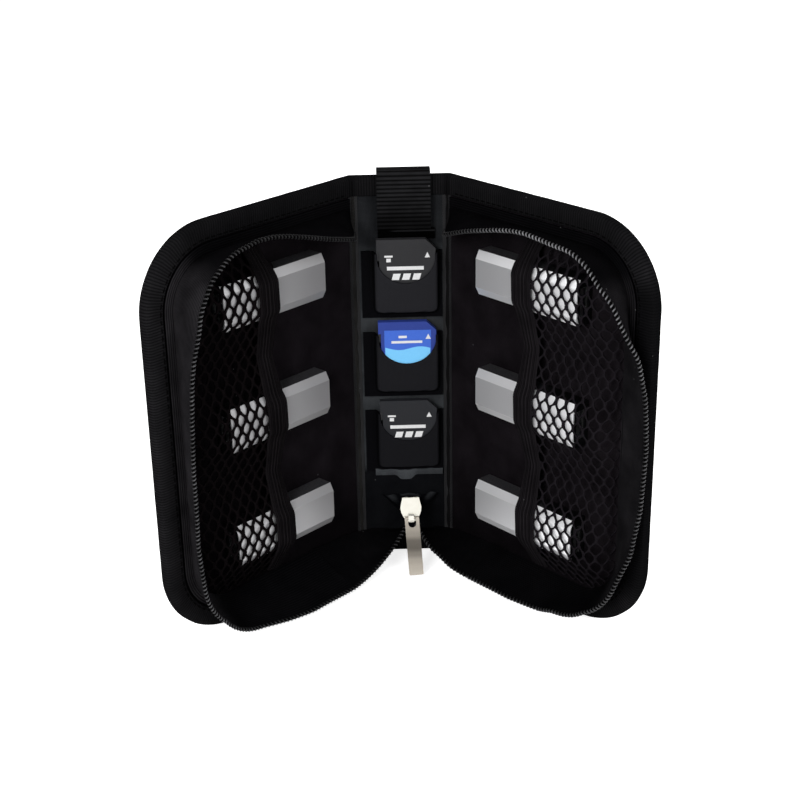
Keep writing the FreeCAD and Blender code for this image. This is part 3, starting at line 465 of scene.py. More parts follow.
# Binding: ribbed tape folded over the free edges and sewn through, with a row of stitches on
# both faces. It also runs over the spine's two ends and bends at the folds.
binding_tape = cloth("binding_grosgrain", ink(11, 11, 12), ink(40, 39, 41), "across", 0.0011,
                     0.00018, {"Roughness": 0.75, "Specular IOR Level": 0.0}, shaded=True)
thread_material = cloth("sewing_thread", ink(4, 4, 4), ink(14, 14, 14), "across", 0.0004, 0.0001,
                        {"Roughness": 0.65, "Specular IOR Level": 0.0})
binding_proud = 0.0008
bound = half_panel + binding_proud
binding_section = [
    (binding_width, half_panel + 0.0003), (binding_width - 0.0004, bound), (0.0042, bound + 0.0001),
    (0.0014, bound), (0.0004, bound - 0.0006), (0.0, half_panel - 0.0008),
]
binding_section += [(inset, -n) for inset, n in reversed(binding_section)]
binding_section += [(binding_width, -half_panel + 0.0004), (0.0013, -half_panel + 0.0006)]
binding_section += [(0.0013, half_panel - 0.0006), (binding_width, half_panel - 0.0004)]


def edge_stations(top_start, bottom_start, step, inset):
    """Stations round a cover's free edges, from the top at the fold to the bottom at the fold.

    Each is a centre, an outward direction and the run so far; a point inset from the edge lies
    at the centre plus the direction times (corner_radius - inset)."""
    straight = corner_start
    low, high = corner_radius, case_height - corner_radius
    bend = corner_radius - inset
    legs = [
        (straight - top_start, lambda t: (top_start + (straight - top_start) * t, high, 0.0)),
        (bend * math.pi / 2, lambda t: (straight, high, t)),
        (high - low, lambda t: (straight, high + (low - high) * t, 1.0)),
        (bend * math.pi / 2, lambda t: (straight, low, 1.0 + t)),
        (straight - bottom_start, lambda t: (straight + (bottom_start - straight) * t, low, 2.0)),
    ]
    stations = []
    run = 0.0
    for length, leg in legs:
        count = max(2, round(length / step))
        for i in range(count):
            u, z, quarter = leg(i / count)
            angle = math.pi / 2 * quarter
            stations.append((u, z, math.sin(angle), math.cos(angle), run + length * i / count))
        run += length
    u, z, quarter = legs[-1][1](1.0)
    stations.append((u, z, 0.0, -1.0, run))
    return stations


def swept(name, rings, places, material, closed_ends=True):
    """A tube through equal rings of points."""
    size = len(rings[0])
    vertices = [p for ring in rings for p in ring]
    flat = [p for ring in places for p in ring]
    faces = []
    for i in range(len(rings) - 1):
        for j in range(size):
            a, b = i * size + j, i * size + (j + 1) % size
            faces.append((a, b, b + size, a + size))
    if closed_ends:
        faces.append(tuple(range(size)))
        faces.append(tuple(range(len(vertices) - size, len(vertices))))
    return piece(name, vertices, faces, flat, material)


def section_places(run):
    """Places on the flat tape for one ring of the binding."""
    lengths = [0.0]
    for (a, b), (c, e) in zip(binding_section, binding_section[1:]):
        lengths.append(lengths[-1] + math.hypot(c - a, e - b))
    return [(run, length) for length in lengths]


stitch_pitch = 0.0030
stitch_length = 0.0022
stitch_inset = 0.0066
stitch_start = 0.006
stitch_lift = 0.00005
stitch_half_width = 0.00024
stitch_half_depth = 0.0002
# Places along a stitch, its girth there and how far it stands out.
stitch_form = [(0.0, 0.5, -0.0001), (0.2, 1.0, 0.00012), (0.5, 1.1, 0.0002), (0.8, 1.0, 0.00012),
               (1.0, 0.5, -0.0001)]


def stitches(name, seats):
    """A row of sewn stitches; each seat is a start, an end and the direction that it stands out."""
    vertices, faces, flat = [], [], []
    for start, end, out in seats:
        way = end - start
        wide = way.cross(out).normalized() * stitch_half_width
        first = len(vertices)
        for share, girth, rise in stitch_form:
            middle = start + way * share + out * rise
            for corner in range(6):
                angle = math.pi / 3 * corner
                vertices.append(middle + wide * girth * math.cos(angle)
                                + out * stitch_half_depth * girth * math.sin(angle))
                flat.append((share * 0.0024 + angle * 0.0001, angle * 0.0002))
        for ring in range(len(stitch_form) - 1):
            for corner in range(6):
                a = first + ring * 6 + corner
                b = first + ring * 6 + (corner + 1) % 6
                faces.append((a, b, b + 6, a + 6))
        faces.append(tuple(range(first, first + 6)))
        faces.append(tuple(range(len(vertices) - 6, len(vertices))))
    return piece(name, vertices, faces, flat, thread_material, 80)


binding_seed = {"left": 4, "right": 9}
binding_wave = 0.00008
# The tape's painted shade along the top edge and the bottom edge, and how much darker it is painted
# along the outer one.
binding_shade = {"left": (0.42, 0.9, 0.0), "right": (0.6, 0.5, 0.8)}
# Painted shade on the tape over the spine's ends and across the folds.
spine_binding_shade = 0.5
fold_binding_shade = 0.3
for side in covers:
    rings, places, shades = [], [], []
    above, below, loss = binding_shade[side]
    for u, z, out_u, out_z, run in edge_stations(cover_start, cover_start, 0.0012, 0.004):
        ends = above if out_z > 0 else below
        shade = ends + (1 - ends) * smooth(0.2, 0.9, out_u) - loss * smooth(0.85, 1.0, out_u)
        shades += [shade] * len(binding_section)
        wave = binding_wave * noise.noise(Vector((run * 150, 1, binding_seed[side])))
        ring = []
        for inset, n in binding_section:
            reach = corner_radius - inset + wave
            ring.append(on_cover(side, u + out_u * reach, n, z + out_z * reach))
        rings.append(ring)
        places.append(section_places(run))
    tape = swept(f"{side}_edge_binding", rings, places, binding_tape)
    set_shade(tape, shades)
    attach(tape, f"{side}_cover")
    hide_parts(f"{side}_binding")
    seats = []
    reach = corner_radius - stitch_inset
    sewn = edge_stations(stitch_start, stitch_start, stitch_pitch, stitch_inset)
    for u, z, out_u, out_z, run in sewn:
        for face in (1, -1):
            level = face * (bound + stitch_lift)
            start = on_cover(side, u + out_u * reach, level, z + out_z * reach)
            way = on_cover(side, out_z, 0, -out_u) - on_cover(side, 0, 0, 0)
            seats.append((start, start + way * stitch_length, covers[side][2] * face))
    row = stitches(f"{side}_binding_stitches", seats)
    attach(row, f"{side}_cover")


def level_of(inset, end):
    """The level at an inset from the case's top or bottom edge."""
    return case_height - inset if end == "top" else inset


for end in ("top", "bottom"):
    rings, places = [], []
    for i in range(31):
        x = -spine_edge + 2 * spine_edge * i / 30
        rings.append([Vector((x, -n, level_of(inset, end))) for inset, n in binding_section])
        places.append(section_places(x))
    tape = swept(f"spine_{end}_edge_binding", rings, places, binding_tape)
    set_shade(tape, [spine_binding_shade])
    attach(tape, "spine")
    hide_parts(f"spine_{end}_binding")
    for side in covers:
        rings, places = [], []
        line = fold_line(side)
        for base, out, run in line:
            rings.append([base - out * n + Vector((0, 0, level_of(inset, end)))
                          for inset, n in binding_section])
            places.append(section_places(run))
        tape = swept(f"{side}_fold_{end}_binding", rings, places, binding_tape)
        set_shade(tape, [fold_binding_shade])
        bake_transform(tape)


# Fold rolls: soft piping sewn into both folds on the inside, lumpy; the left one is painted pale
# with light, the right one dark with shade.
roll_rows = 110
roll_sides = 14
roll_tips = (0.35, 0.75, 0.95)
roll_girth = 0.93
roll_lump = 0.18
roll_lump_most = 0.38
roll_back = half_panel - 0.0012
# Painted light and shade: the left roll's pale tone is lighter than the right one's.
for side, light in (("left", ink(56, 55, 54)), ("right", ink(25, 24, 26))):
    roll_cloth = cloth(f"{side}_piping_cloth", ink(14, 14, 14), light, "weave", 0.0006, 0.0002,
                       {"Roughness": 0.85, "Specular IOR Level": 0.0}, crease=0.0012,
                       lint_cell=0.003)
    low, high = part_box(f"{side}_fold_roll")
    middle = (low + high) / 2
    radius = min(high.x - low.x, high.y - low.y) / 2
    rings, places = [], []
    for i in range(roll_rows + 1):
        z = low.z + (high.z - low.z) * i / roll_rows
        ring, flat = [], []
        end = min(i, roll_rows - i)
        taper = roll_tips[end] if end < len(roll_tips) else 1.0
        for j in range(roll_sides):
            angle = 2 * math.pi * j / roll_sides
            lump = noise.noise(Vector((math.cos(angle) * 1.2, math.sin(angle) * 1.2, z * 160)))
            girth = radius * taper * (roll_girth + roll_lump * min(lump, roll_lump_most))
            depth = min(girth * math.sin(angle), roll_back - middle.y)
            ring.append(Vector((middle.x + girth * math.cos(angle), middle.y + depth, z)))
            flat.append((angle * radius, z))
        rings.append(ring)
        places.append(flat)
    roll = swept(f"{side}_fold_piping", rings, places, roll_cloth)
    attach(roll, "spine")
    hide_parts(f"{side}_fold_roll")


# Zip walls: woven tape sewn round each cover inside its binding, standing up as a side wall that
# sags and splays. Each wall carries half of the nylon zip coil on its rim.
zip_cloth = cloth("zip_tape_cloth", ink(4, 4, 5), ink(62, 60, 63), "along", 0.0008, 0.00014,
                  {"Roughness": 0.75, "Specular IOR Level": 0.0}, crease=0.0007, shaded=True)
coil_nylon, tree, shader = new_material("coil_nylon", {"Specular IOR Level": 0.1})
place = add(tree, "TexCoord").outputs["Object"]
worn = mottled(tree, place, 0.006)
# The shade attribute paints light on the coil: highlights at the crests, brighter where the lamps
# catch it.
lit = calc(tree, "MULTIPLY", worn, add(tree, "Attribute", attribute_name="shade").outputs["Fac"])
tree.links.new(between(tree, lit, ink(5, 5, 6), ink(190, 190, 194)), shader.inputs["Base Color"])
rough = add(tree, "MapRange", {0: mottled(tree, place, 0.002), 3: 0.22, 4: 0.5})
tree.links.new(rough.outputs[0], shader.inputs["Roughness"])

zip_inset = 0.013
zip_rise = 0.0021
zip_top_start = 0.010
zip_bottom_start = 0.031
zip_thickness = 0.0008
zip_row = 0.0017
zip_seed = {"left": 2, "right": 6}
zip_bow = 0.0009
zip_ripple = 0.0005
# Distance round the cover, the wall's lean outwards in degrees, and its height there.
zip_lean = {
    "left": [
        (0.000, -32, 0.0105), (0.004, -25, 0.0150), (0.008, -18, 0.0166), (0.016, -11, 0.0168),
        (0.022, -6, 0.0168), (0.028, 0, 0.0168), (0.035, 7, 0.0168), (0.042, 13, 0.0168),
        (0.050, 18, 0.0168), (0.058, 20, 0.0168), (0.067, 16, 0.0168), (0.077, 6, 0.0165),
        (0.087, 3, 0.0165), (0.097, 8, 0.0165), (0.109, 18, 0.0166), (0.134, 27, 0.0166),
        (0.184, 30, 0.0166), (0.203, 26, 0.0168), (0.218, 22, 0.0172), (0.232, 31, 0.0185),
        (0.244, 27, 0.0222), (0.256, 24, 0.0246), (0.279, 22, 0.0250),
    ],
    "right": [
        (0.000, -30, 0.0105), (0.004, -21, 0.0150), (0.008, -14, 0.0166), (0.016, -5, 0.0168),
        (0.022, 1, 0.0168), (0.028, 6, 0.0168), (0.035, 11, 0.0168), (0.042, 14, 0.0168),
        (0.050, 16, 0.0168), (0.058, 15, 0.0168), (0.067, 12, 0.0168), (0.086, 12, 0.0166),
        (0.097, 32, 0.0166), (0.111, 55, 0.0168), (0.126, 66, 0.0168), (0.148, 71, 0.0168),
        (0.172, 67, 0.0168), (0.191, 56, 0.0168), (0.203, 40, 0.0168), (0.218, 18, 0.0168),
        (0.232, 17, 0.0166), (0.240, 26, 0.0168), (0.256, 26, 0.0184), (0.279, 22, 0.0190),
    ],
}


def wall_at(side, station, share):
    """A point of a zip wall, from its foot at 0 to its rim at 1."""
    u, z, out_u, out_z, run = station
    places = [row[0] for row in zip_lean[side]]
    lean = math.radians(np.interp(run, places, [row[1] for row in zip_lean[side]]))
    tall = np.interp(run, places, [row[2] for row in zip_lean[side]])
    bow = zip_bow * math.sin(math.pi * share)
    ripple = zip_ripple * share * noise.noise(Vector((run * 55, share, zip_seed[side])))
    reach = corner_radius - zip_inset + tall * math.sin(lean) * share * (0.8 + 0.2 * share)
    reach += (bow + ripple) * math.cos(lean)
    rise = zip_rise + tall * math.cos(lean) * share * (1.08 - 0.08 * share)
    rise -= (bow + ripple) * math.sin(lean)
    return on_cover(side, u + out_u * reach, rise, z + out_z * reach)


def thick_sheet(name, grid, thickness, places, material):
    """A closed sheet of even thickness about a grid of points."""
    points = np.array([[tuple(p) for p in row] for row in grid])
    down = np.gradient(points, axis=0)
    across = np.gradient(points, axis=1)
    normal = np.cross(down, across)
    normal /= np.maximum(np.linalg.norm(normal, axis=2, keepdims=True), 1e-12)
    front = points + normal * thickness / 2
    back = points - normal * thickness / 2
    return slab(name, [list(map(Vector, row)) for row in front],
                [list(map(Vector, row)) for row in back], places, material)


coil_pitch = 0.00168
coil_half_width = 0.0008
coil_half_depth = 0.00065
coil_wire = 0.00028
coil_core = 0.00066
coil_lift = 0.0007
coil_steps = 10


def run_along(points):
    """The distance from the first of a row of points to each of them."""
    return np.concatenate([[0.0], np.cumsum(np.linalg.norm(np.diff(points, axis=0), axis=1))])


def read_at(places, run, points):
    """Points read off at given distances along a row of them."""
    return np.stack([np.interp(places, run, column) for column in points.T], axis=1)


def unit(ways):
    """Directions of length 1."""
    return ways / np.linalg.norm(ways, axis=1, keepdims=True)


def tube_rings(middle, first, second, radius, sides):
    """Rings of points round a line, in the plane of two directions at each of its points."""
    rings = []
    for k in range(sides):
        corner = 2 * math.pi * k / sides
        rings.append(middle + radius * (first * math.cos(corner) + second * math.sin(corner)))
    return [list(map(Vector, ring)) for ring in np.stack(rings, axis=1)]


def zip_coil(name, rim, rise, shades):
    """One wire wound in flat turns along a rim; rise is the way up the tape at each point."""
    rim = np.array([tuple(p) for p in rim])
    rise = np.array([tuple(p) for p in rise])
    run = run_along(rim)
    turns = np.arange(0.0, run[-1], coil_pitch / coil_steps)
    middle = read_at(turns, run, rim)
    way = np.gradient(middle, axis=0)
    side = unit(np.cross(way, read_at(turns, run, rise)))
    up = unit(np.cross(side, way))
    angle = (turns / coil_pitch * 2 * np.pi)[:, None]
    outward = unit(up * np.cos(angle) * coil_half_depth + side * np.sin(angle) * coil_half_width)
    wire = middle + up * np.cos(angle) * coil_half_width + side * np.sin(angle) * coil_half_depth
    beside = unit(np.cross(np.gradient(wire, axis=0), outward))
    flat = [[(s, k * 0.0004) for k in range(8)] for s in turns]
    wound = swept(name, tube_rings(wire, outward, beside, coil_wire, 6), [row[:6] for row in flat],
                  coil_nylon)
    # Painted highlight: each turn is paler at its crest.
    crest = 0.1 + 0.9 * ((1 + np.cos(angle[:, 0])) / 2) ** 3
    set_shade(wound, np.repeat(np.interp(turns, run, shades) * crest, 6))
    core = swept(f"{name}_core", tube_rings(middle, up, side, coil_core, 8)[::5], flat[::5],
                 thread_material)
    return wound, core


# How much painted light the coil's crests take, by the distance round the cover.
coil_light = {"left": [(0.0, 0.05), (0.060, 0.05), (0.090, 0.25), (0.279, 0.25)],
              "right": [(0.0, 0.05), (0.018, 0.10), (0.045, 0.80), (0.095, 0.70), (0.125, 0.22),
                        (0.279, 0.22)]}
# How much painted light a wall takes on the outer edge, and where round the corner that begins and
# is full; elsewhere it keeps wall_shade, a painted shade.
wall_light = {"left": (0.9, 0.3, 0.9), "right": (0.5, 0.75, 1.0)}
wall_shade = 0.1
# The two ends of the line along which a wall goes over from the spine's turn to its cover's.
wall_hold = {}
for side, near in (("left", 0.016), ("right", 0.018)):
    wall_hold[side] = (on_cover(side, 0.0, 0.086, -0.010), on_cover(side, 0.0, near, 0.005))
flange = [(0.0085, 0.0022), (0.0105, 0.0023), (0.0125, 0.0023)]
# At the fold the wall closes to a web: its rows, and the line that they run down to.
web_rows = 4
web_u, web_n = 0.0032, 0.0026
zip_stations = edge_stations(zip_top_start, zip_bottom_start, 0.0025, zip_inset)
for side in covers:
    grid, places, rim, rise, shades = [], [], [], [], []
    light, dim_end, full_start = wall_light[side]
    for station in zip_stations:
        u, z, out_u, out_z, run = station
        column = []
        for inset, n in flange:
            reach = corner_radius - inset
            column.append(on_cover(side, u + out_u * reach, n, z + out_z * reach))
        column += [wall_at(side, station, j / 10) for j in range(11)]
        grid.append(column)
        places.append([(run, j * zip_row) for j in range(len(column))])
        # Painted light on the wall round the outer edge; painted shade elsewhere.
        shades += [wall_shade + light * smooth(dim_end, full_start, out_u)] * len(column)
        up = (column[-1] - column[-2]).normalized()
        rim.append(column[-1] + up * coil_lift)
        rise.append(up)
    first = grid[0]
    for k in reversed(range(web_rows)):
        web = [on_cover(side, web_u, web_n, p.z).lerp(p, smooth(0, web_rows, k)) for p in first]
        grid.insert(0, web)
        places.insert(0, [(-zip_row * (web_rows - k), j * zip_row) for j in range(len(web))])
        shades = [wall_shade] * len(web) + shades
    wall = thick_sheet(f"{side}_zip_wall", grid, zip_thickness, places, zip_cloth)
    set_shade(wall, shades)
    lit = [np.interp(station[4], *zip(*coil_light[side])) for station in zip_stations]
    coil, core = zip_coil(f"{side}_zip_wire", rim, rise, lit)
    for made in (wall, coil, core):
        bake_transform(made)
    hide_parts(f"{side}_zip_tape")
    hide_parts(f"{side}_zip_coil")


# Mesh pockets: a knitted net of pointed holes over the three sticks of each cover, drawn down
# between them, with a ribbed elastic band sewn along its mouth.
def yarn(name, dark, light):
    """Matt knitted thread."""
    return grained(name, dark, light, 0.0006, 0.7, 0.0001,
                   {"Roughness": 0.8, "Specular IOR Level": 0.0})


# Painted shade: the left net's yarn is darker than the right one's.
net_yarn = {"left": yarn("left_net_yarn", ink(8, 6, 7), ink(18, 15, 16)),
            "right": yarn("right_net_yarn", ink(14, 12, 14), ink(36, 33, 37))}
band_cloth = {}
# Painted shade: the left elastic band is darker than the right one.
for side, light in (("left", ink(31, 28, 30)), ("right", ink(42, 39, 42))):
    band_cloth[side] = cloth(f"{side}_elastic_cloth", ink(9, 8, 9), light, "along", 0.0009, 0.0003,
                             {"Roughness": 0.8, "Specular IOR Level": 0.0})
net_crest = 0.0114
net_edge = 0.0095
net_valley = 0.0060
net_foot = 0.0024
net_low, net_high = (corner.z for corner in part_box("left_mesh_net"))
net_shoulder = cover_span("right", "right_stick_1_plate")[1][0] - 0.0006
net_clear = 0.0004
net_end = cover_width - zip_inset - net_clear
band_width = 0.0096
band_thickness = 0.0009
band_draw = 0.0009
band_rib = 0.00018
band_curl = 0.0004
# The band's edge towards the fold at half height, and how far it drifts for each metre up.
band_line = {"left": (0.0512, 0.0248), "right": (0.0491, -0.0376)}
knots = [(net_low, net_foot)]
for number in (3, 2, 1):
    low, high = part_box(f"left_stick_{number}_plate")
    middle = (low.z + high.z) / 2
    half = (high.z - low.z) / 2
    knots += [(middle - half - 0.0003, net_edge), (middle - half * 0.62, net_crest),
              (middle + half * 0.62, net_crest), (middle + half + 0.0003, net_edge)]
    if number > 1:
        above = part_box(f"left_stick_{number - 1}_plate")[0].z
        knots.append(((high.z + above) / 2, net_valley))
knots.append((net_high, net_foot))
net_levels = np.linspace(net_low, net_high, 560)
net_heights = np.interp(net_levels, *zip(*knots))
blur = np.ones(11) / 11
net_heights = np.convolve(np.pad(net_heights, 5, mode="edge"), blur, mode="valid")


def net_height(u, z):
    """How high the net stands over the cover's middle: over the sticks and the room their plugs
    slide into, then down to its sewn end."""
    crest = float(np.interp(z, net_levels, net_heights))
    share = min(max((u - net_shoulder) / (net_end - net_shoulder), 0.0), 1.0)
    return net_foot + (crest - net_foot) * (1 - share ** 7)


def tucked(u, z):
    """A place of the net, drawn in where it would pass the zip wall's foot."""
    excess = zip_inset + net_clear - edge_inset(u, z)
    if excess <= 0:
        return u, z
    out_u = max(u - corner_start, 0.0)
    high = abs(z - case_height / 2) - (case_height / 2 - corner_radius)
    out_z = math.copysign(max(high, 0.0), z - case_height / 2)
    size = math.hypot(out_u, out_z)
    return u - out_u / size * excess, z - out_z / size * excess


net_start = 0.0545
net_line = np.linspace(net_start - 0.006, net_end, 300)
net_profile = [net_height(u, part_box("left_stick_2_plate")[0].z) for u in net_line]
net_run = net_line[0] + run_along(np.stack([net_line, net_profile], axis=1))
net_across = 0.0050
net_step = 0.00405
net_columns = 12
net_foot_hem = 0.0028
net_top_hem = 0.0024
net_loose = 0.00012
net_tip = 0.0032
hole_half_width = {"left": 0.0017, "right": 0.0020}
hole_half_height = 0.0026
net_thickness = 0.0006
net_seed = {"left": 11, "right": 12}
for side in covers:
    random.seed(net_seed[side])
    index, vertices, faces = {}, [], []

    def net_vertex(run, z):
        key = (round(run * 1e5), round(z * 1e5))
        if key not in index:
            index[key] = len(vertices)
            loose = Vector((random.uniform(-1, 1), random.uniform(-1, 1))) * net_loose
            u, z = tucked(float(np.interp(run + loose.x, net_run, net_line)), z + loose.y)
            vertices.append(on_cover(side, u, net_height(u, z), z))
        return index[key]

    flank = net_step - net_tip
    corners = [(0, net_tip), (net_across / 2, flank), (net_across / 2, -flank), (0, -net_tip),
               (-net_across / 2, -flank), (-net_across / 2, flank)]
    ring = []
    for (a, b), (c, e) in zip(corners, corners[1:] + corners[:1]):
        ring += [(a + (c - a) * k / 4, b + (e - b) * k / 4) for k in range(4)]
    hole = []
    for a, b in ring:
        span = math.hypot(a / net_across * 2, b / net_tip)
        level = b / net_tip / span * hole_half_height
        bulge = 1 - (abs(level) / hole_half_height) ** 2.2
        hole.append((math.copysign(hole_half_width[side] * bulge, a) if a else 0.0, level))
    rows = int((net_high - net_low) / net_step)
    for i in range(rows):
        z = net_low + net_foot_hem + i * net_step
        for j in range(net_columns):
            run = net_start + j * net_across + (net_across / 2 if i % 2 else 0)
            u = float(np.interp(run, net_run, net_line))
            if z > net_high - net_top_hem or edge_inset(u, z) < zip_inset + 2 * net_clear:
                continue
            outer = [net_vertex(run + a, z + b) for a, b in ring]
            inner = [net_vertex(run + a, z + b) for a, b in hole]
            for k in range(len(ring)):
                m = (k + 1) % len(ring)
                faces.append((outer[k], outer[m], inner[m], inner[k]))
    net = piece(f"{side}_pocket_net", vertices, faces, None, net_yarn[side], 180)
    fabric = net.modifiers.new("thread", "SOLIDIFY")
    fabric.thickness = net_thickness
    fabric.offset = 0
    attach(net, f"{side}_cover")
    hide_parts(f"{side}_mesh_net")
    grid, places = [], []
    level, drift = band_line[side]
    for z in np.linspace(net_low, net_high, 281):
        crest = net_height(0, z)
        drawn = 1 - smooth(net_valley, net_crest, crest)
        start = level + drift * (z - case_height / 2)
        narrow = band_draw * drawn
        column, flat = [], []
        for j in range(25):
            share = j / 24
            u = start + narrow + (band_width - 2 * narrow) * share
            ribbed = band_rib * math.cos(share * math.pi * 12)
            curl = band_curl * (2 * share - 1) ** 2 * drawn
            column.append(on_cover(side, u, crest + band_thickness + ribbed - curl, z))
            flat.append((z, share * band_width))
        grid.append(column)
        places.append(flat)
    band = thick_sheet(f"{side}_elastic_band", grid, band_thickness, places, band_cloth[side])
    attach(band, f"{side}_cover")
    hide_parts(f"{side}_mesh_elastic")


# Memory sticks: six plug-in sticks, each a dark housing, a bevelled satin face plate and a steel
# plug that slides out. Their solids stay, with softened edges.
stick_dark, tree, shader = new_material(
    "stick_plastic", {"Roughness": 0.5, "Specular IOR Level": 0.05})
place = add(tree, "TexCoord").outputs["Object"]
grain = mottled(tree, place, 0.0007)
# The housing is painted dark with shade where it lies under the net; the end that stands out of the
# net keeps its paler grain.
out = calc(tree, "ABSOLUTE", add(tree, "SeparateXYZ", {0: place}).outputs["X"])
clear_of_net = add(tree, "MapRange", {0: out, 1: 0.050, 2: 0.058, 3: 1.0, 4: 0.0}).outputs[0]
tone = calc(tree, "MULTIPLY", grain, clear_of_net)
tree.links.new(between(tree, tone, ink(12, 12, 13), ink(70, 69, 72)), shader.inputs["Base Color"])
raise_surface(tree, shader, 0.5, 0.00005, grain)

# The plates' darkest tone, how dull and bright they are painted along their length, and how pale
# their bevels are painted: painted light and highlights, stronger on the right cover.
satin_dark = {"left": ink(144, 143, 145), "right": ink(153, 153, 156)}
satin_sheen = {"left": (0.02, 0.3), "right": (0.24, 0.92)}
satin_bevel_highlight = {"left": 0.2, "right": 0.75}
brush_grain = (1 / 60, 1 / 4000, 1 / 4000)

# Brush lines: fine scratches in one level direction, given by its angle.
brush, entry, leave = new_group("brush_lines", {"Place": "Vector", "Turn": "Float"},
                                {"Lines": "Float"})
about = add(brush, "CombineXYZ", {2: calc(brush, "MULTIPLY", entry.outputs["Turn"], -1.0)})
lengthwise = add(brush, "Mapping", {"Vector": entry.outputs["Place"], "Rotation": about.outputs[0],
                                    "Scale": brush_grain}, vector_type="TEXTURE")
scratches = add(brush, "TexNoise", {"Vector": lengthwise.outputs[0], "Scale": 1.0, "Detail": 2.0})
brush.links.new(scratches.outputs[0], leave.inputs["Lines"])


def brushed(name, dark, light, way, values, bands=None, bevel_highlight=0.0):
    """Satin metal, finely brushed along one direction.

    Bands are a direction, the range along it and the tones there, painted along the metal as light
    and reflections fall on it; the bevel highlight is how much paler the metal is painted where it
    looks up or down, a painted highlight."""
    material, tree, shader = new_material(name, values)
    place = add(tree, "TexCoord").outputs["Object"]
    lines = add(tree, "Group", {"Place": place, "Turn": math.atan2(way.y, way.x)},
                node_tree=brush).outputs["Lines"]
    cloudy = calc(tree, "MULTIPLY", mottled(tree, place, 0.02), 0.4)
    tone = calc(tree, "ADD", calc(tree, "MULTIPLY", lines, 0.6), cloudy)
    if bands:
        axis, low, high, stops = bands
        level = add(tree, "VectorMath", {0: place, 1: axis}, operation="DOT_PRODUCT")
        share = add(tree, "MapRange", {0: level.outputs["Value"], 1: low, 2: high})
        ramp = add(tree, "ValToRGB", {0: share.outputs[0]})
        ramp.color_ramp.interpolation = "EASE"
        for spot, shine in stops[1:-1]:
            ramp.color_ramp.elements.new(spot)
        for element, (spot, shine) in zip(ramp.color_ramp.elements, stops):
            element.position = spot
            element.color = (shine, shine, shine, 1)
        tone = calc(tree, "ADD", ramp.outputs["Color"], calc(tree, "MULTIPLY", tone, 0.1))
    # Painted highlight on faces that look up or down.
    if bevel_highlight:
        facing = add(tree, "TexCoord").outputs["Normal"]
        tilt = add(tree, "VectorMath", {0: facing, 1: (0, 0, bevel_highlight)}, operation="DOT_PRODUCT")
        tone = calc(tree, "ADD", tone, calc(tree, "ABSOLUTE", tilt.outputs["Value"]))
    tree.links.new(between(tree, tone, dark, light), shader.inputs["Base Color"])
    rough = add(tree, "MapRange", {0: lines, 3: 0.30, 4: 0.48})
    tree.links.new(rough.outputs[0], shader.inputs["Roughness"])
    raise_surface(tree, shader, 0.25, 0.00003, lines)
    return material


def soften(node, width, segments=2):
    """Rounds a solid's sharp edges in the render."""
    edge = frame["nodes"][node].modifiers.new("soft_edge", "BEVEL")
    edge.width = width
    edge.segments = segments
    edge.limit_method = "ANGLE"
    edge.angle_limit = math.radians(30)


for side in covers:
    fold, along, inward = covers[side]
    start = fold.dot(along)
    dull, bright = satin_sheen[side]
    # Painted light along the plate: dull by the fold, bright towards the outer end.
    sheen_stops = [(0.0, dull), (0.45, dull + 0.1), (0.7, bright), (1.0, bright)]
    satin = brushed(f"{side}_stick_satin", satin_dark[side], ink(250, 250, 252), along,
                    {"Metallic": 0.55, "Specular IOR Level": 0.5},
                    (along, start + 0.026, start + 0.079, sheen_stops), satin_bevel_highlight[side])
    steel = brushed(f"{side}_plug_steel", ink(110, 110, 112), ink(160, 160, 160), along,
                    {"Metallic": 1.0})
    for number in (1, 2, 3):
        for part, material, width in (("housing", stick_dark, 0.0004), ("plate", satin, 0.0005),
                                      ("connector", steel, 0.0002)):
            node = f"{side}_stick_{number}_{part}"
            frame["nodes"][node].data.materials[0] = material
            soften(node, width)


# Card pockets: three black sheets sewn across the spine, each drawn tight over its card, with a
# half-round thumb cut. A flat hem strip finishes the panel below them.
pocket_sheet, tree, shader = new_material(
    "pocket_sheet", {"Roughness": 0.6, "Specular IOR Level": 0.0})
coordinates = add(tree, "TexCoord")
threads = add(tree, "Group", {"Place": coordinates.outputs["UV"], "Thread": 0.0005},
              node_tree=weave).outputs["Height"]
# Paler where the sheet is drawn tight over a card, partly the stretched cloth and partly painted
# light; the slack flanks are painted dark with shade.
drawn = add(tree, "Attribute", attribute_name="drawn").outputs["Fac"]
slack_tone = between(tree, threads, ink(6, 6, 8), ink(12, 12, 14))
tight_tone = between(tree, threads, ink(28, 28, 31), ink(40, 40, 43))
tree.links.new(between(tree, drawn, slack_tone, tight_tone), shader.inputs["Base Color"])
fine = add(tree, "Bump", {"Strength": 0.6, "Distance": 0.00005, "Height": threads})
soft = add(tree, "Bump", {"Strength": 0.6, "Distance": 0.0006, "Normal": fine.outputs[0],
                          "Height": mottled(tree, coordinates.outputs["Object"], 0.015)})
tree.links.new(soft.outputs[0], shader.inputs["Normal"])

card_seats = {}
card_thickness = 0.0021
for joint in frame["joints"]:
    if joint["name"].startswith("card_") and joint["name"].endswith("_pull"):
        number = int(joint["name"].split("_")[1])
        up = Vector(joint["axis"]).normalized()
        front = Vector((0, -up.z, up.y))
        low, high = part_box(f"card_{number}")
        seat = Vector(((low.x + high.x) / 2, high.y, low.z - card_thickness * up.y))
        card_seats[number] = (seat, up, front)

pocket_wall = 0.0006
pocket_gap = 0.0003
pocket_rows = 26
pocket_floor = 0.0034
notch_rise = 0.0124
card_half = 0.012
sheet_left, sheet_right = -0.0163, 0.0168
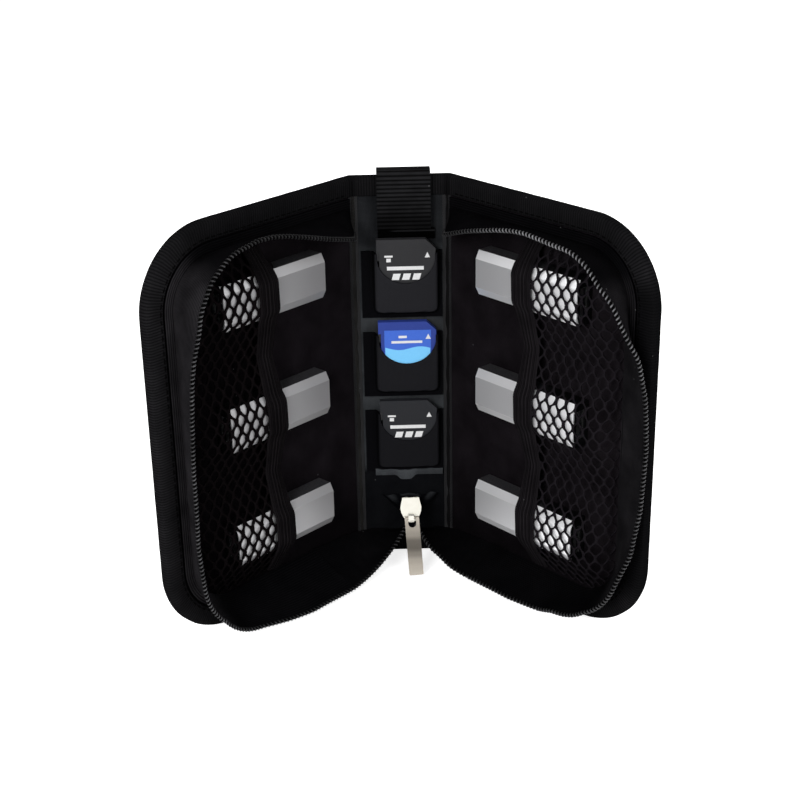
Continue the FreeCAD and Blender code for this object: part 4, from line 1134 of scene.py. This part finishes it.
# How much painted light each pocket takes where it is drawn over its card, less for the lower ones.
pocket_painted_light = {1: 1.0, 2: 0.65, 3: 0.45}
flank_y = half_panel + pocket_wall
for number, (seat, up, front) in card_seats.items():
    pocket_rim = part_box(f"card_pocket_{number}")[1].z
    slope = -up.y / up.z
    line = [sheet_left, -0.0145]
    line += [seat.x - card_half - 0.0028 + 0.0004 * i for i in range(8)]
    line += [seat.x - card_half * math.cos(math.pi * i / 36) for i in range(37)]
    line += [seat.x + card_half + 0.0004 * i for i in range(1, 8)]
    line += [sheet_right - 0.0012, sheet_right]
    grid, places, tight = [], [], []
    for x in sorted(line):
        off = abs(x - seat.x)
        top = pocket_rim
        if off < card_half - 1e-6:
            top = seat.z + notch_rise + card_half - math.sqrt(card_half ** 2 - off ** 2)
        bottom = seat.z - pocket_floor
        column, flat = [], []
        for j in range(pocket_rows + 1):
            z = bottom + (top - bottom) * j / pocket_rows
            over_card = seat.y - (card_thickness + pocket_gap) / up.z - pocket_wall / 2
            over_card -= (z - seat.z) * slope
            side_share = 1 - smooth(0.0002, 0.0024, off - card_half)
            foot_share = smooth(seat.z - 0.0024, seat.z - 0.0002, z)
            corner = math.hypot(max(off - card_half + 0.002, 0), max(seat.z + 0.002 - z, 0))
            share = side_share * foot_share * (1 - smooth(0.0021, 0.0042, corner))
            y = -flank_y + (over_card + flank_y) * share
            column.append(Vector((x, y, z)))
            flat.append((x, z))
            tight.append(smooth(0.75, 1.0, share) * pocket_painted_light[number])
        grid.append(column)
        places.append(flat)
    pocket = thick_sheet(f"card_pocket_{number}_sheet", grid, pocket_wall, places, pocket_sheet)
    set_shade(pocket, tight, "drawn")
    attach(pocket, "spine")
    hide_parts(f"card_pocket_{number}")

low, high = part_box("pocket_hem_strip")
hem_middle = (low.x + high.x) / 2 - 0.0014
hem_dip = 0.0022
hem_lift = 0.0004
hem_pillow = 0.00035
hem_ripple = 0.0002
hem_thickness = 0.0007
grid, places, shades = [], [], []
for i in range(33):
    x = low.x + (high.x - low.x) * i / 32
    off = abs(x - hem_middle)
    dip = hem_dip * (1 - smooth(0.0018, 0.0046, off))
    # Painted light: the hem strip is paler towards its middle, over the dip.
    shades += [0.7 + 0.3 * (1 - smooth(0.002, 0.006, off))] * 9
    column, flat = [], []
    for j in range(9):
        share = j / 8
        z = low.z - dip + (high.z - low.z + dip) * share
        pillow = hem_pillow * math.sin(math.pi * share)
        ripple = hem_ripple * noise.noise(Vector((x * 200, z * 200, 4)))
        column.append(Vector((x, -half_panel - hem_lift - pillow - ripple, z)))
        flat.append((x, z))
    grid.append(column)
    places.append(flat)
strip = thick_sheet("pocket_hem", grid, hem_thickness, places, spine_cloth)
set_shade(strip, shades)
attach(strip, "spine")
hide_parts("pocket_hem_strip")


# Cards: three small memory cards with a sliding lock tab, in dark grey, blue and dark grey. Each
# carries a plain printed label of bars and an arrow, and bare contacts on its back.
def moulded(name, dark, light, roughness=0.5, metallic=0.0):
    """A hard, finely pitted surface: plastic, print or plating."""
    return grained(name, dark, light, 0.0005, 0.4, 0.00003,
                   {"Roughness": roughness, "Specular IOR Level": 0.15, "Metallic": metallic})


card_plastics = {1: moulded("card_plastic_dark", ink(34, 34, 36), ink(44, 44, 46)),
                 2: moulded("card_plastic_blue", ink(40, 58, 132), ink(50, 68, 146)),
                 3: moulded("card_plastic_slate", ink(27, 28, 31), ink(36, 37, 41))}
tab_plastic = moulded("lock_tab_plastic", ink(36, 36, 38), ink(48, 48, 50))
print_white = moulded("print_white", ink(215, 215, 216), ink(232, 232, 232))
print_blue = moulded("label_blue", ink(60, 98, 198), ink(70, 112, 212), 0.35)
print_pale = moulded("label_pale_blue", ink(112, 192, 244), ink(132, 208, 252), 0.35)
contact_gold = moulded("contact_gold", ink(176, 140, 66), ink(206, 170, 92), 0.3, metallic=1.0)
print_depth = 0.00006


def printed(name, number, shapes, material, back=False, lift=1):
    """Flat printed or plated shapes on a card, by corners in its width and height."""
    seat, up, front = card_seats[number]
    across = Vector((1, 0, 0))
    vertices, faces = [], []
    for shape in shapes:
        first, count = len(vertices), len(shape)
        face = 0.0 if back else card_thickness
        rise = -print_depth if back else print_depth * lift
        for depth in (face, face + rise):
            for x, z in shape:
                vertices.append(seat + across * x + up * z + front * depth)
        faces.append(tuple(range(first, first + count)))
        faces.append(tuple(range(first + count, first + 2 * count)))
        for k in range(count):
            m = (k + 1) % count
            faces.append((first + k, first + m, first + count + m, first + count + k))
    made = piece(name, vertices, faces, None, material, 20)
    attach(made, f"card_{number}")
    return made


def bar(left, bottom, width, height, lean=0.0):
    """The corners of a printed bar, upright or leaning."""
    return [(left, bottom), (left + width, bottom), (left + width + lean, bottom + height),
            (left + lean, bottom + height)]


arrow = [(0.0076, 0.0240), (0.0098, 0.0240), (0.0087, 0.0264)]
for number in card_seats:
    node = f"card_{number}"
    frame["nodes"][node].data.materials[0] = card_plastics[number]
    frame["nodes"][f"{node}_lock_tab"].data.materials[0] = tab_plastic
    soften(node, 0.0003)
    soften(f"{node}_lock_tab", 0.00015)
    if number == 2:
        label = bar(-0.0095, 0.0035, 0.0193, 0.0247)
        printed("card_2_label", 2, [label], print_blue)
        wave = [(0.0095, 0.0040), (0.0095, 0.0198)]
        wave += [(0.0095 - 0.0187 * k / 10, 0.0198 + 0.0008 * math.sin(2.2 * math.pi * k / 10))
                 for k in range(1, 11)]
        wave.append((-0.0092, 0.0040))
        printed("card_2_label_foot", 2, [wave], print_pale, lift=2)
        marks = [arrow, bar(-0.0066, 0.0222, 0.0128, 0.0011),
                 bar(-0.0036, 0.0246, 0.0034, 0.0011)]
        printed("card_2_marks", 2, marks, print_white, lift=2)
    else:
        marks = [arrow, bar(-0.0088, 0.0243, 0.0034, 0.0008),
                 bar(-0.0080, 0.0222, 0.0018, 0.0016), bar(-0.0078, 0.0186, 0.0150, 0.0016)]
        marks += [bar(left, 0.0142, 0.0030, 0.0028, 0.0008) for left in (-0.0060, -0.0018, 0.0024)]
        printed(f"card_{number}_print", number, marks, print_white)
    contacts = [bar(-0.0092 + 0.0021 * k, 0.0268, 0.0015, 0.0038) for k in range(8)]
    printed(f"card_{number}_contacts", number, contacts, contact_gold, back=True)


# Webbing loop: one strap of ribbed webbing over the spine's top edge, turned up on itself inside
# and sewn through.
rib_pitch = 0.0017
rib_height = 0.00016
webbing = cloth("loop_webbing", ink(3, 3, 3), ink(48, 48, 50), "along", rib_pitch, 0.0003,
                {"Roughness": 0.75, "Specular IOR Level": 0.0}, shaded=True)
low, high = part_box("webbing_loop")
strap = 0.0012
strap_gap = 0.0003
strap_margin = 0.0002
edge_bend = 0.0022
back_y = high.y - strap / 2
front_y = low.y + strap / 2
inner_y = front_y + strap + strap_gap
top_z = high.z - strap / 2
turn_z = low.z + strap / 2
route = [(back_y, case_height - 0.012), (back_y, top_z - edge_bend)]
for i in range(1, 6):
    angle = math.pi / 2 * i / 5
    route.append((back_y - edge_bend * (1 - math.cos(angle)),
                  top_z - edge_bend * (1 - math.sin(angle))))
for i in range(6):
    angle = math.pi / 2 * i / 5
    route.append((front_y + edge_bend * (1 - math.sin(angle)),
                  top_z - edge_bend * (1 - math.cos(angle))))
bend = (inner_y - front_y) / 2
for i in range(9):
    angle = math.pi * i / 8
    route.append((front_y + bend * (1 - math.cos(angle)), turn_z + bend - bend * math.sin(angle)))
route.append((inner_y, case_height - 0.010))
route = np.array(route)
lengths = run_along(route)
samples = np.arange(0.0, lengths[-1], rib_pitch / 6)
line = read_at(samples, lengths, route)
half = strap / 2 - 0.0001
across = np.linspace(low.x + strap_margin, high.x - strap_margin, 9)
rings, places, shades = [], [], []
for s, (y, z), (dy, dz) in zip(samples, line, unit(np.gradient(line, axis=0))):
    rib = rib_height * abs(math.sin(math.pi * s / rib_pitch))
    profile = [(x, half + rib) for x in across] + [(x, -half - rib * 0.5) for x in across[::-1]]
    rings.append([Vector((x, y + dz * depth, z - dy * depth)) for x, depth in profile])
    places.append([(x, s) for x, depth in profile])
    # Painted shade: the strap is darker towards its lower turn.
    shades += [0.3 + 0.7 * smooth(low.z + 0.004, low.z + 0.010, z)] * len(profile)
loop = swept("top_loop", rings, places, webbing)
set_shade(loop, shades)
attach(loop, "spine")
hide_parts("webbing_loop")
loop_hem_start = low.x + 0.0003
loop_hem_width = high.x - low.x + 0.0012
loop_hem_foot = low.z - 0.0046
loop_hem_height = 0.0044
loop_hem_lift = 0.0005
loop_hem_welt = 0.0006
loop_hem_ripple = 0.0001
loop_hem_thickness = 0.0006
grid, places, shades = [], [], []
for i in range(25):
    x = loop_hem_start + loop_hem_width * i / 24
    column, flat = [], []
    for j in range(15):
        share = j / 14
        z = loop_hem_foot + loop_hem_height * share
        welt = loop_hem_welt * (smooth(0.70, 0.80, share) - smooth(0.88, 0.98, share))
        ripple = loop_hem_ripple * noise.noise(Vector((x * 300, z * 300, 6)))
        column.append(Vector((x, -half_panel - loop_hem_lift - welt - ripple, z)))
        flat.append((x, z))
        # Painted highlight along the welt's ridge on the right part of the hem; the rest is painted
        # dark with shade.
        shades.append(0.9 * smooth(0.0002, loop_hem_welt, welt) * smooth(-0.005, -0.002, x))
    grid.append(column)
    places.append(flat)
loop_hem = thick_sheet("loop_hem", grid, loop_hem_thickness, places, webbing)
set_shade(loop_hem, shades)
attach(loop_hem, "spine")


# Zip end: both tapes run together at the spine's foot into the slider. Each side runs on from its
# own cover's wall, and the sewn end behind the slider is crumpled against the spine.
def smooth_run(points, count):
    """Even points along a smooth line through the given ones."""
    points = np.array([tuple(p) for p in points])
    ends = np.vstack([2 * points[0] - points[1], points, 2 * points[-1] - points[-2]])
    line = []
    for i in range(len(points) - 1):
        a, b, c, e = ends[i:i + 4]
        for k in range(24):
            t = k / 24
            line.append(0.5 * (2 * b + (c - a) * t + (2 * a - 5 * b + 4 * c - e) * t ** 2
                               + (3 * b - a - 3 * c + e) * t ** 3))
    line.append(points[-1])
    line = np.array(line)
    run = run_along(line)
    return [Vector(p) for p in read_at(np.linspace(0.0, run[-1], count), run, line)]


zip_rims = {
    "left": [(-0.0190, -0.0345, 0.0042), (-0.0139, -0.0288, 0.0062), (-0.0086, -0.0239, 0.0100),
             (-0.0048, -0.0201, 0.0134), (0.0006, -0.0138, 0.0192)],
    "right": [(0.0188, -0.0313, 0.0078), (0.0140, -0.0264, 0.0106), (0.0100, -0.0226, 0.0130),
              (0.0038, -0.0138, 0.0192)],
}
end_count = 45
end_rows = 10
end_run = 0.0011
end_row = 0.0022
end_sag = 0.0016
end_crease = 0.0004
end_seed = {"left": 5, "right": 7}
# Painted shade: the zip end's coil is kept dim, and its tape takes the walls' painted shade.
end_light = 0.12
station = zip_stations[-1]
for side in covers:
    across = 1 if side == "right" else -1
    rim = smooth_run([wall_at(side, station, 1.0)] + zip_rims[side], end_count)
    foot = smooth_run([wall_at(side, station, 0.0), on_cover(side, 0.020, 0.0024, 0.0125),
                       on_cover(side, 0.009, 0.0027, 0.0120),
                       (across * 0.0150 + 0.001, -0.0034, 0.0115),
                       (across * 0.0095 + 0.0015, -0.0046, 0.0118),
                       (across * 0.0050 + 0.002, -0.0068, 0.0130),
                       (across * 0.0014 + 0.0022, -0.0098, 0.0160)], end_count)
    start, end = wall_hold[side]
    along = end - start
    grid, places, rise = [], [], []
    for k in range(end_count):
        column = []
        for j in range(end_rows + 1):
            share = j / end_rows
            sag = end_sag * math.sin(math.pi * share) * (1 - k / (end_count - 1))
            crease = end_crease * noise.noise(Vector((k * 0.3, share * 3, end_seed[side])))
            point = foot[k].lerp(rim[k], share) - Vector((0, 0, sag - crease))
            column.append(wall_at(side, station, share).lerp(point, smooth(0, 7, k)))
        grid.append(column)
        places.append([(end_run * k, end_row * j) for j in range(end_rows + 1)])
        rise.append((column[-1] - column[-2]).normalized())
    end_tape = thick_sheet(f"{side}_zip_end_tape", grid, zip_thickness, places, zip_cloth)
    set_shade(end_tape, [wall_shade])
    rim = [p + r * coil_lift for p, r in zip(rim, rise)]
    coil, core = zip_coil(f"{side}_zip_end_wire", rim, rise, [end_light] * end_count)
    for made in (end_tape, coil, core):
        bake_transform(made)

sewn_middle = 0.0022
sewn_half_top, sewn_half_foot = 0.0120, 0.0026
sewn_back, sewn_reach = -0.0034, 0.0072
sewn_top, sewn_drop = 0.0285, 0.0070
sewn_crumple = 0.0012
sewn_wave = 0.0016
grid, places, shades = [], [], []
for i in range(25):
    share = i / 24
    column, flat = [], []
    for j in range(13):
        drop = j / 12
        wide = sewn_half_top * (1 - drop) + sewn_half_foot * drop
        x = sewn_middle + wide * (2 * share - 1)
        crumple = noise.noise(Vector((share * 7, drop * 4, 3)))
        wave = noise.noise(Vector((share * 5, 2, 8)))
        y = sewn_back - sewn_reach * drop ** 1.3
        y -= sewn_crumple * abs(crumple) * math.sin(math.pi * share)
        z = sewn_top - sewn_drop * drop + sewn_wave * wave * (1 - drop)
        column.append(Vector((x, y, z)))
        flat.append((x, z))
        # Painted highlights: pale spots near the two top corners and at the top middle; the rest is
        # painted dark with shade.
        turned = 1 - smooth(0.0, 0.13, abs(share - 0.13)) * smooth(0.0, 0.10, abs(share - 0.90))
        middle = 1 - smooth(0.14, 0.22, abs(share - 0.5))
        shades.append(0.3 * turned * (1 - smooth(0.1, 0.5, drop))
                      + 0.3 * middle * (1 - smooth(0.0, 0.2, drop)))
    grid.append(column)
    places.append(flat)
sewn_end = thick_sheet("zip_sewn_end", grid, zip_thickness, places, spine_cloth)
set_shade(sewn_end, shades)
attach(sewn_end, "spine")
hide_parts("zip_gusset_tape", "zip_gusset_coil")


# Slider and pull tab: a polished cast slider with its bail, and a long satin nickel tab that
# swings on it. Their solids stay, with softened edges.
slider_bright = grained("slider_polish", ink(226, 222, 208), ink(250, 248, 240), 0.004, 0.15,
                        0.0001, {"Metallic": 0.6, "Roughness": 0.2, "Coat Weight": 0.3})
frame["nodes"]["zip_slider"].data.materials[0] = slider_bright
soften("zip_slider", 0.0005, 3)
low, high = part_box("pull_tab")
# Painted reflection down the tab: pale by the slider and at its foot, dark across its middle.
tab_painted_sheen = [(0.0, 0.92), (0.16, 0.70), (0.27, 0.54), (0.375, 0.24), (0.48, 0.03), (0.59, 0.06),
           (0.70, 0.36), (0.82, 0.52), (1.0, 0.85)]
tab_nickel = brushed("tab_nickel", ink(58, 53, 47), ink(166, 159, 148), Vector((0, 1, 0)),
                     {"Metallic": 0.5, "Specular IOR Level": 0.4},
                     ((0, 0, 1), low.z, high.z, tab_painted_sheen))
frame["nodes"]["pull_tab"].data.materials[0] = tab_nickel
soften("pull_tab", 0.0003, 3)


# Stand: a white floor that keeps the shadow, soft light from above and in front, and the camera
# at the photograph's place.
floor_white, tree, shader = new_material("floor_white", {
    "Base Color": (0.82, 0.82, 0.82, 1), "Roughness": 0.9, "Specular IOR Level": 0.0})
path = add(tree, "LightPath")
seen = calc(tree, "MAXIMUM", path.outputs["Is Camera Ray"], path.outputs["Is Glossy Ray"])
glow = add(tree, "Emission", {"Color": (1, 1, 1, 1)})
tree.links.new(calc(tree, "MULTIPLY", seen, 0.79), glow.inputs["Strength"])
both = add(tree, "AddShader", {0: shader.outputs[0], 1: glow.outputs[0]})
tree.links.new(both.outputs[0], tree.nodes["Material Output"].inputs["Surface"])
ground = bpy.data.meshes.new("floor")
reach = 6.0
corners = [(-reach, -reach, 0), (reach, -reach, 0), (reach, reach, 0), (-reach, reach, 0)]
ground.from_pydata(corners, [], [(0, 1, 2, 3)])
ground.materials.append(floor_white)
floor = bpy.data.objects.new("floor", ground)
floor.location.z = -0.0001
bpy.context.collection.objects.link(floor)

world = bpy.data.worlds.new("studio")
bpy.context.scene.world = world
world.use_nodes = True
tree = world.node_tree
path = add(tree, "LightPath")
seen = calc(tree, "MAXIMUM", path.outputs["Is Camera Ray"], path.outputs["Is Transmission Ray"])
seen = calc(tree, "MAXIMUM", seen, path.outputs["Is Glossy Ray"])
sky = tree.nodes["Background"]
sky.inputs["Color"].default_value = (1, 1, 1, 1)
tree.links.new(add(tree, "MapRange", {0: seen, 3: 0.25, 4: 1.0}).outputs[0], sky.inputs["Strength"])


def soft_lamp(name, place, target, size, power):
    """A round softbox at a place, turned to a target."""
    lamp = bpy.data.lights.new(name, "AREA")
    lamp.shape = "DISK"
    lamp.size = size
    lamp.energy = power
    stand = bpy.data.objects.new(name, lamp)
    stand.location = place
    stand.rotation_euler = (Vector(target) - Vector(place)).to_track_quat("-Z", "Y").to_euler()
    bpy.context.collection.objects.link(stand)


middle = (0, -0.04, 0.08)
soft_lamp("key_light", (-0.55, -1.15, 0.70), middle, 0.6, 13)
soft_lamp("fill_light", (0.75, -0.95, 0.55), middle, 0.8, 6)
soft_lamp("top_light", (0.0, 0.5, 1.1), middle, 0.8, 3)
soft_lamp("left_back_light", (-0.9, 0.8, 0.4), middle, 0.8, 9)
soft_lamp("right_back_light", (0.9, 0.8, 0.4), middle, 0.8, 9)

camera_data = bpy.data.cameras.new("photograph")
camera_data.lens = 70.02
camera_data.sensor_width = 36.0
camera_data.clip_start = 0.01
camera = bpy.data.objects.new("photograph", camera_data)
pitch, yaw, roll = math.radians(23.307), math.radians(0.943), math.radians(-1.077)
ahead = Vector((math.sin(yaw) * math.cos(pitch), math.cos(yaw) * math.cos(pitch), -math.sin(pitch)))
level = Vector((math.cos(yaw), -math.sin(yaw), 0))
upright = level.cross(ahead)
right = level * math.cos(roll) + upright * math.sin(roll)
above = upright * math.cos(roll) - level * math.sin(roll)
turned = Matrix((right, above, -ahead)).transposed().to_4x4()
camera.matrix_world = Matrix.Translation((-0.01142, -0.6095, 0.33407)) @ turned
bpy.context.collection.objects.link(camera)
bpy.context.scene.camera = camera
bpy.context.scene.view_settings.view_transform = "Standard"
